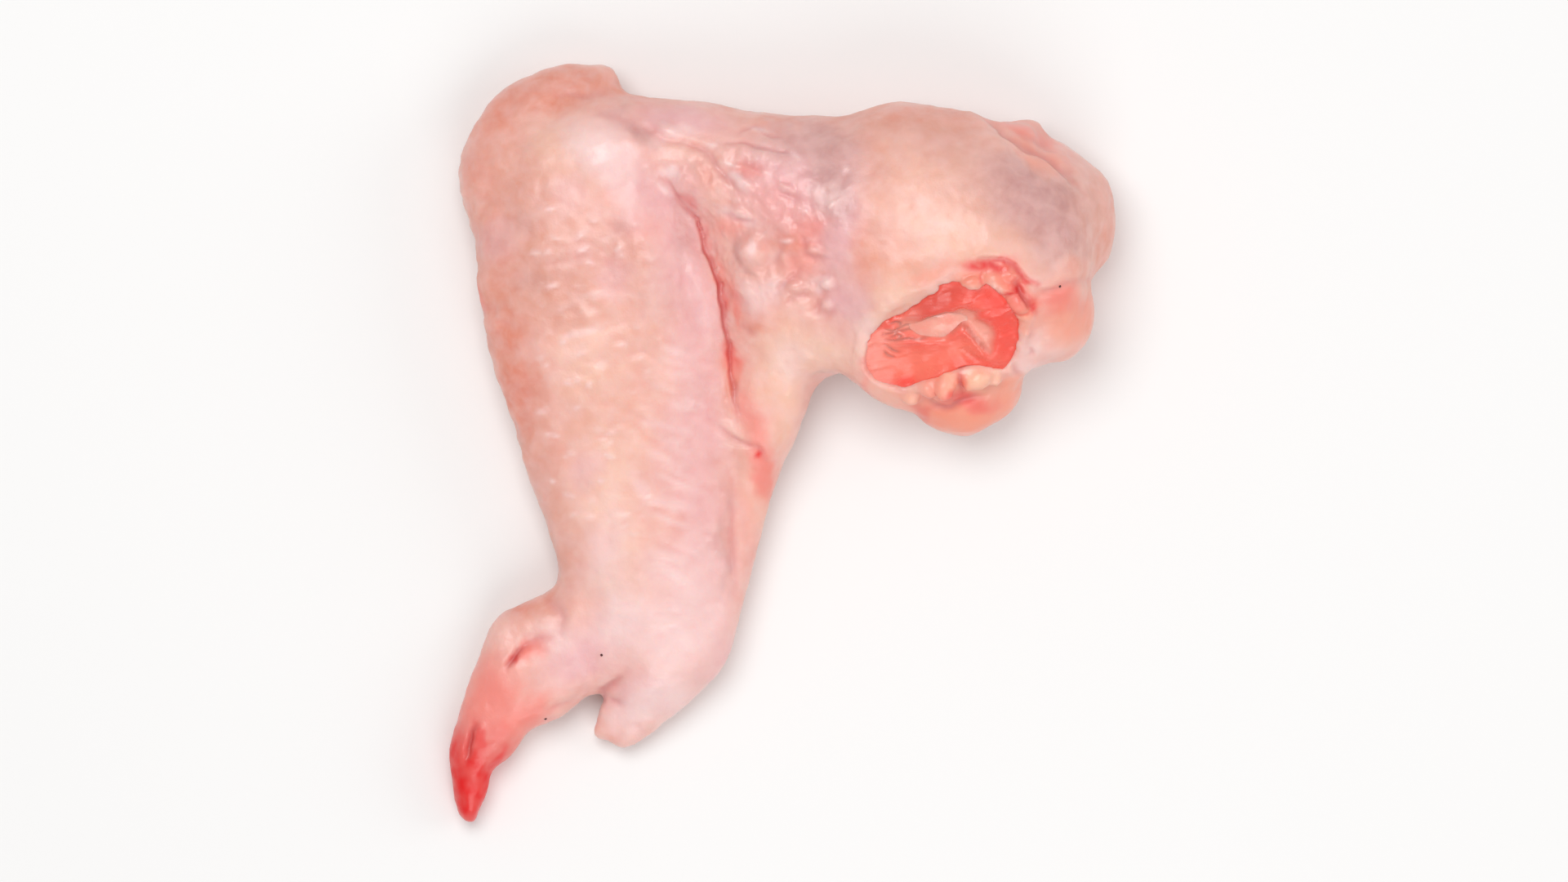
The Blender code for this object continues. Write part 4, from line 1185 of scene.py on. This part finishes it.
at, edges = read_mesh(muscle)
u, v, w = cut_coordinates(at)
level = cut_level(u, v)
shown = cut_point(u, v, level)
loose = shaken(shown, 1.8, 0.25, seed=21.0)
window = inside_outline(loose, ARCH_EDGE + FLAP_EDGE)
to_arch, _, _ = along_route(loose, ARCH_EDGE)
to_flap, _, _ = along_route(loose, FLAP_EDGE)
to_window = np.minimum(to_arch, to_flap) * np.where(window, 1.0, -1.0)
blur = 0.2 + 0.3 * rise(shown[:, 0], 21.0, -4.0)
bone_shows = 1.0 / (1.0 + np.exp(-to_window / blur))
print("points in the window:", int(window.sum()))

# %% [markdown]
# ## The cut's face, laid out anew
#
# The solid's dome is plain and lies too deep, so its face is laid out as heights over the cut. The arch and the
# flap swell along their edges, the window lies lower, and fine fibres run along the oval, with a few hair lines
# at the left end. Near the rim a ray is sent down at each point, and where it meets the skin, the muscle stays
# below it. What was moved steeply is relaxed most, for there the squares are stretched.

# %% Lay out the face
FACE_DEPTH = 9.0
SKIN_COVER, FAR_BELOW = 0.4, 5.0

fibres = np.stack([u * 0.2, v * 1.3, w * 0.3], axis=1)
height = level + 0.28 * ripple(shown, 4.5, seed=4.4) + 0.09 * ripple(fibres, 1.0, seed=6.0)
height += (1.0 - bone_shows) * (0.35 * hump(to_arch, 1.2, 1.3) + 0.45 * hump(to_flap, 0.0, 1.5))
height -= bone_shows * (0.4 + 0.9 * dab(shown, 23.6, 17.6, 6.6, 2.6, 12.0))
hairs = np.max([stroke(loose, route, 0.2, fade=0.4) for route in HAIR_LINES], axis=0)
height -= 0.35 * hairs
height -= 0.3 * dab(shown, 16.4, 17.4, 2.4, 2.0, 40.0)

_, beyond = round_cut(shown, CUT_OUTLINE)
under_rim = np.flatnonzero((beyond > 1.0) & (beyond < 1.5) & (w > -FACE_DEPTH))
bpy.context.view_layer.update()
for k in under_rim:
    start = Vector((cut_point(u[k:k + 1], v[k:k + 1], np.array([FACE_DEPTH]))[0] + PLAN_SHIFT) * MM)
    hit, point, _, _ = skin.ray_cast(start, -Vector(CUT_NORMAL))
    under_skin = (np.array(point) / MM - PLAN_SHIFT - CUT_MIDDLE) @ CUT_NORMAL - SKIN_COVER
    if hit and under_skin > level[k] - FAR_BELOW:
        height[k] = min(height[k], under_skin)
height -= 4.5 * rise(beyond, 1.22, 0.25) ** 1.3

looks_out = rise(read_normals(muscle) @ CUT_NORMAL, 0.05, 0.3)
in_face = rise(oval_share(u, v), 1.32, -0.08) * looks_out * (w > -FACE_DEPTH)
at += CUT_NORMAL * (in_face * (height - w))[:, None]
steep = np.maximum(rise(beyond, 0.96, 0.06), 0.7 * hump(to_window, 0.0, 0.6))
for _ in range(5):
    at = relax(at, edges, (0.12 + 0.38 * steep)[:, None])
write_points(muscle, at)
print("points under the rim:", len(under_rim))

# %% [markdown]
# ## The muscle's paint
#
# Cut muscle is brightest where it is thick. It is duller red along the top of the arch, deep red in the hollows
# at the right, salmon over the flap, and nearly as pale as the bone where the film over the bone is thin. Thin
# brown lines along the edges of the flap and the arch are painted shade, where they lap over the bone; the hair
# lines at the left end are torn fibres.

# %% Paint the muscle
fibre_streaks = np.clip(0.5 + ripple(fibres, 0.7, seed=2.5, octaves=3), 0.0, 1.0)
# Painted shade: brown lines along the flap's and the arch's edges, where they lap over the bone.
flap_edge_shade = 0.6 * stroke(shown, FLAP_EDGE[:7], 0.36, fade=0.3) + 0.2 * stroke(loose, ARCH_EDGE, 0.3, fade=0.3)
left_end = 0.5 * dab(shown, 13.2, 13.8, 3.4, 4.4) + 0.6 * dab(shown, 16.6, 16.6, 2.4, 1.8) * fibre_streaks
left_arch = 0.35 * dab(shown, 19.0, 19.3, 2.2, 1.3, 40.0)
hollows = 0.65 * dab(shown, 33.6, 18.0, 2.2, 5.0, 12.0) + dab(shown, 18.6, 9.6, 1.6, 0.9)
hollows += 0.5 * dab(shown, 31.6, 22.6, 3.4, 1.8, -30.0)
MUSCLE_PAINT = {
    "salmon": (tone(254, 122, 100),
               0.9 * dab(shown, 20.0, 12.4, 6.6, 2.8, 8.0) + 0.7 * dab(shown, 27.4, 15.0, 3.0, 1.8)),
    "dull": (tone(228, 82, 68), 0.95 * dab(shown, 22.0, 21.2, 6.4, 1.9, 28.0)),
    "deep": (tone(255, 80, 66), hollows),
    "blanched": (tone(253, 165, 147), np.maximum(bone_shows, left_end) + left_arch),
    "hair": (tone(176, 104, 90), np.clip(0.7 * hairs + flap_edge_shade, 0.0, 0.8)),
}
for name, (_, mask) in MUSCLE_PAINT.items():
    write_mask(muscle, name, mask)

muscle_material, tree, shader, where = flesh_material("raw_muscle", tone(250, 96, 82), 0.1, 0.3, 1.6)
stretched = add_node(tree, "ShaderNodeMapping", {"Vector": where, "Scale": (0.5, 1.6, 1.0)}).outputs["Vector"]
patchwork = place_group(tree, mottle, Where=stretched, Patch_Scale=320.0, Fleck_Scale=1500.0)
colour = mix_colours(tree, patchwork.outputs["Patches"], tone(252, 104, 88), tone(246, 82, 70), 0.6)
colour = mix_colours(tree, patchwork.outputs["Flecks"], colour, tone(250, 150, 128), 0.2)
colour = painted(tree, colour, {name: seen for name, (seen, _) in MUSCLE_PAINT.items()})
wet_surface(tree, shader, where, Patch_Scale=300.0, Wettest=0.2, Driest=0.38, Film=0.5)
fine_surface(tree, shader, stretched, 0.12, Pore_Scale=1400.0, Line_Scale=2400.0)
dress(muscle, muscle_material, tree, shader, colour)
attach(muscle, "root")
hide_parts("drumette_muscle")
print("muscle tones:", len(MUSCLE_PAINT))

# %% [markdown]
# ## The head of the bone
#
# Cartilage caps the humerus: smooth, wet and pale salmon. It lies in the muscle like a kernel, just below the
# film that shows in the window. The solid's top is a little too pointed, so it is flattened to follow the cut.

# %% Shape and paint the bone
CAP_DEPTH, UNDER_FACE = 3.9, 0.42

bone = wrapped_copy("bone_head", 0.6, "humerus", swell=0.15)
at, edges = read_mesh(bone)
write_points(bone, smooth_keeping_volume(at, edges, rounds=5))
apply_modifier(bone, "SUBSURF", levels=1, render_levels=1)
at, edges = read_mesh(bone)
u, v, w = cut_coordinates(at)
near_cut = rise(w, -5.0, 2.5)
top = cut_level(u, v) - UNDER_FACE
raised = top - CAP_DEPTH + CAP_DEPTH * rise(w, -CAP_DEPTH, CAP_DEPTH - 0.3) ** 0.5
at += CUT_NORMAL * (near_cut * (raised - w))[:, None] + CUT_Y * (near_cut * (0.5 + 0.16 * v))[:, None]
at += read_normals(bone) * (0.10 * ripple(at, 2.2, seed=3.0))[:, None]
write_points(bone, at)

bone_material, tree, shader, where = flesh_material("wet_cartilage", tone(253, 172, 154), 0.08, 0.4, 1.8)
patchwork = place_group(tree, mottle, Where=where, Patch_Scale=380.0, Fleck_Scale=1300.0)
colour = mix_colours(tree, patchwork.outputs["Patches"], tone(254, 176, 158), tone(251, 160, 144))
colour = mix_colours(tree, patchwork.outputs["Flecks"], colour, tone(252, 190, 172), 0.3)
wet_surface(tree, shader, where, Patch_Scale=420.0, Wettest=0.16, Driest=0.3, Film=0.6)
dress(bone, bone_material, tree, shader, colour)
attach(bone, "root")
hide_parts("humerus")
print("bone faces:", len(bone.data.polygons))

# %% [markdown]
# ## Quill stubs
#
# Three dark specks are left in the skin, at the wrist, on the hand's edge and on the lobe right of the cut:
# quills that broke off in plucking. Each is a tiny cone of dark horn, with only its end out of the skin. Paint
# would give the same spot from above, but a stub also stands up when seen from the side.

# %% Set the quill stubs
QUILLS = [(-27.9, -32.1), (-36.5, -41.9), (41.9, 24.1)]
STUB_FOOT, STUB_END, STUB_LENGTH, STUB_SUNK, STUB_ROUND = 0.36, 0.2, 0.8, 0.25, 0.08

stubs = bmesh.new()
bpy.context.view_layer.update()
for x, y in QUILLS:
    _, point, facing, _ = skin.ray_cast(from_above(x, y), STRAIGHT_DOWN)
    stand = facing.to_track_quat("Z", "Y").to_matrix().to_4x4()
    place = Matrix.Translation(point - facing * STUB_SUNK * MM) @ stand
    bmesh.ops.create_cone(stubs, cap_ends=True, segments=10, radius1=STUB_FOOT * MM, radius2=STUB_END * MM,
                          depth=STUB_LENGTH * MM, matrix=place)
bmesh.ops.bevel(stubs, geom=stubs.edges[:], offset=STUB_ROUND * MM, segments=2, affect="EDGES")
stub_mesh = bpy.data.meshes.new("quill_stubs")
stubs.to_mesh(stub_mesh)
stubs.free()
quill_stubs = add_object("quill_stubs", stub_mesh)
quill_material, tree, shader, where = flesh_material("quill_horn", tone(64, 30, 34), 0.2, 0.1, 0.4)
streaks = place_group(tree, mottle, Where=where, Patch_Scale=2600.0, Fleck_Scale=6000.0)
colour = mix_colours(tree, streaks.outputs["Patches"], tone(56, 24, 30), tone(104, 52, 50))
shader.inputs["Roughness"].default_value = 0.4
dress(quill_stubs, quill_material, tree, shader, colour)
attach(quill_stubs, "root")
print("quill stubs:", len(QUILLS))

# %% [markdown]
# ## Table, light and camera
#
# The wing lies on a plain pale surface. One broad soft light from above, a little towards the elbow side,
# shapes the rounded flesh, and two weaker ones keep the shadows open. The camera looks straight down through a
# long lens, so the wing has the outline that it was measured by.

# %% Lay the table
bpy.ops.mesh.primitive_plane_add(size=1.6, location=(0.0, 0.0, -0.0001))
table = bpy.context.object
table.name = "table"
table_material = bpy.data.materials.new("pale_table")
table_material.use_nodes = True
table_shader = table_material.node_tree.nodes["Principled BSDF"]
table_shader.inputs["Base Color"].default_value = tone(246, 245, 244)
table_shader.inputs["Roughness"].default_value = 0.6
table.data.materials.append(table_material)
print("table's width in m:", round(table.dimensions.x, 2))


# %% Hang the lights
def soft_light(name, place, size, power):
    lamp = bpy.data.lights.new(name, "AREA")
    lamp.shape = "DISK"
    lamp.size = size
    lamp.energy = power
    obj = add_object(name, lamp)
    obj.location = place
    obj.rotation_euler = (-Vector(place)).to_track_quat("-Z", "Y").to_euler()


soft_light("window", (-0.14, 0.22, 0.72), 0.50, 2.75)
soft_light("front_fill", (0.12, -0.50, 0.52), 0.50, 1.3)
soft_light("side_fill", (0.60, 0.10, 0.35), 0.40, 0.7)
world = bpy.data.worlds.new("studio")
world.use_nodes = True
world.node_tree.nodes["Background"].inputs["Color"].default_value = (1.0, 1.0, 1.0, 1.0)
world.node_tree.nodes["Background"].inputs["Strength"].default_value = 0.43
bpy.context.scene.world = world
bpy.context.scene.view_settings.view_transform = "Standard"
print("lights:", [lamp.name for lamp in bpy.data.lights])

# %% Set the camera
CAMERA_HEIGHT, LENS = 2.672, 400.0
lens = bpy.data.cameras.new("camera")
lens.lens = LENS
lens.clip_end = 10.0
camera = add_object("camera", lens)
camera.location = (0.0, 0.0, CAMERA_HEIGHT)
bpy.context.scene.camera = camera
print("camera looks down from:", CAMERA_HEIGHT, "m")
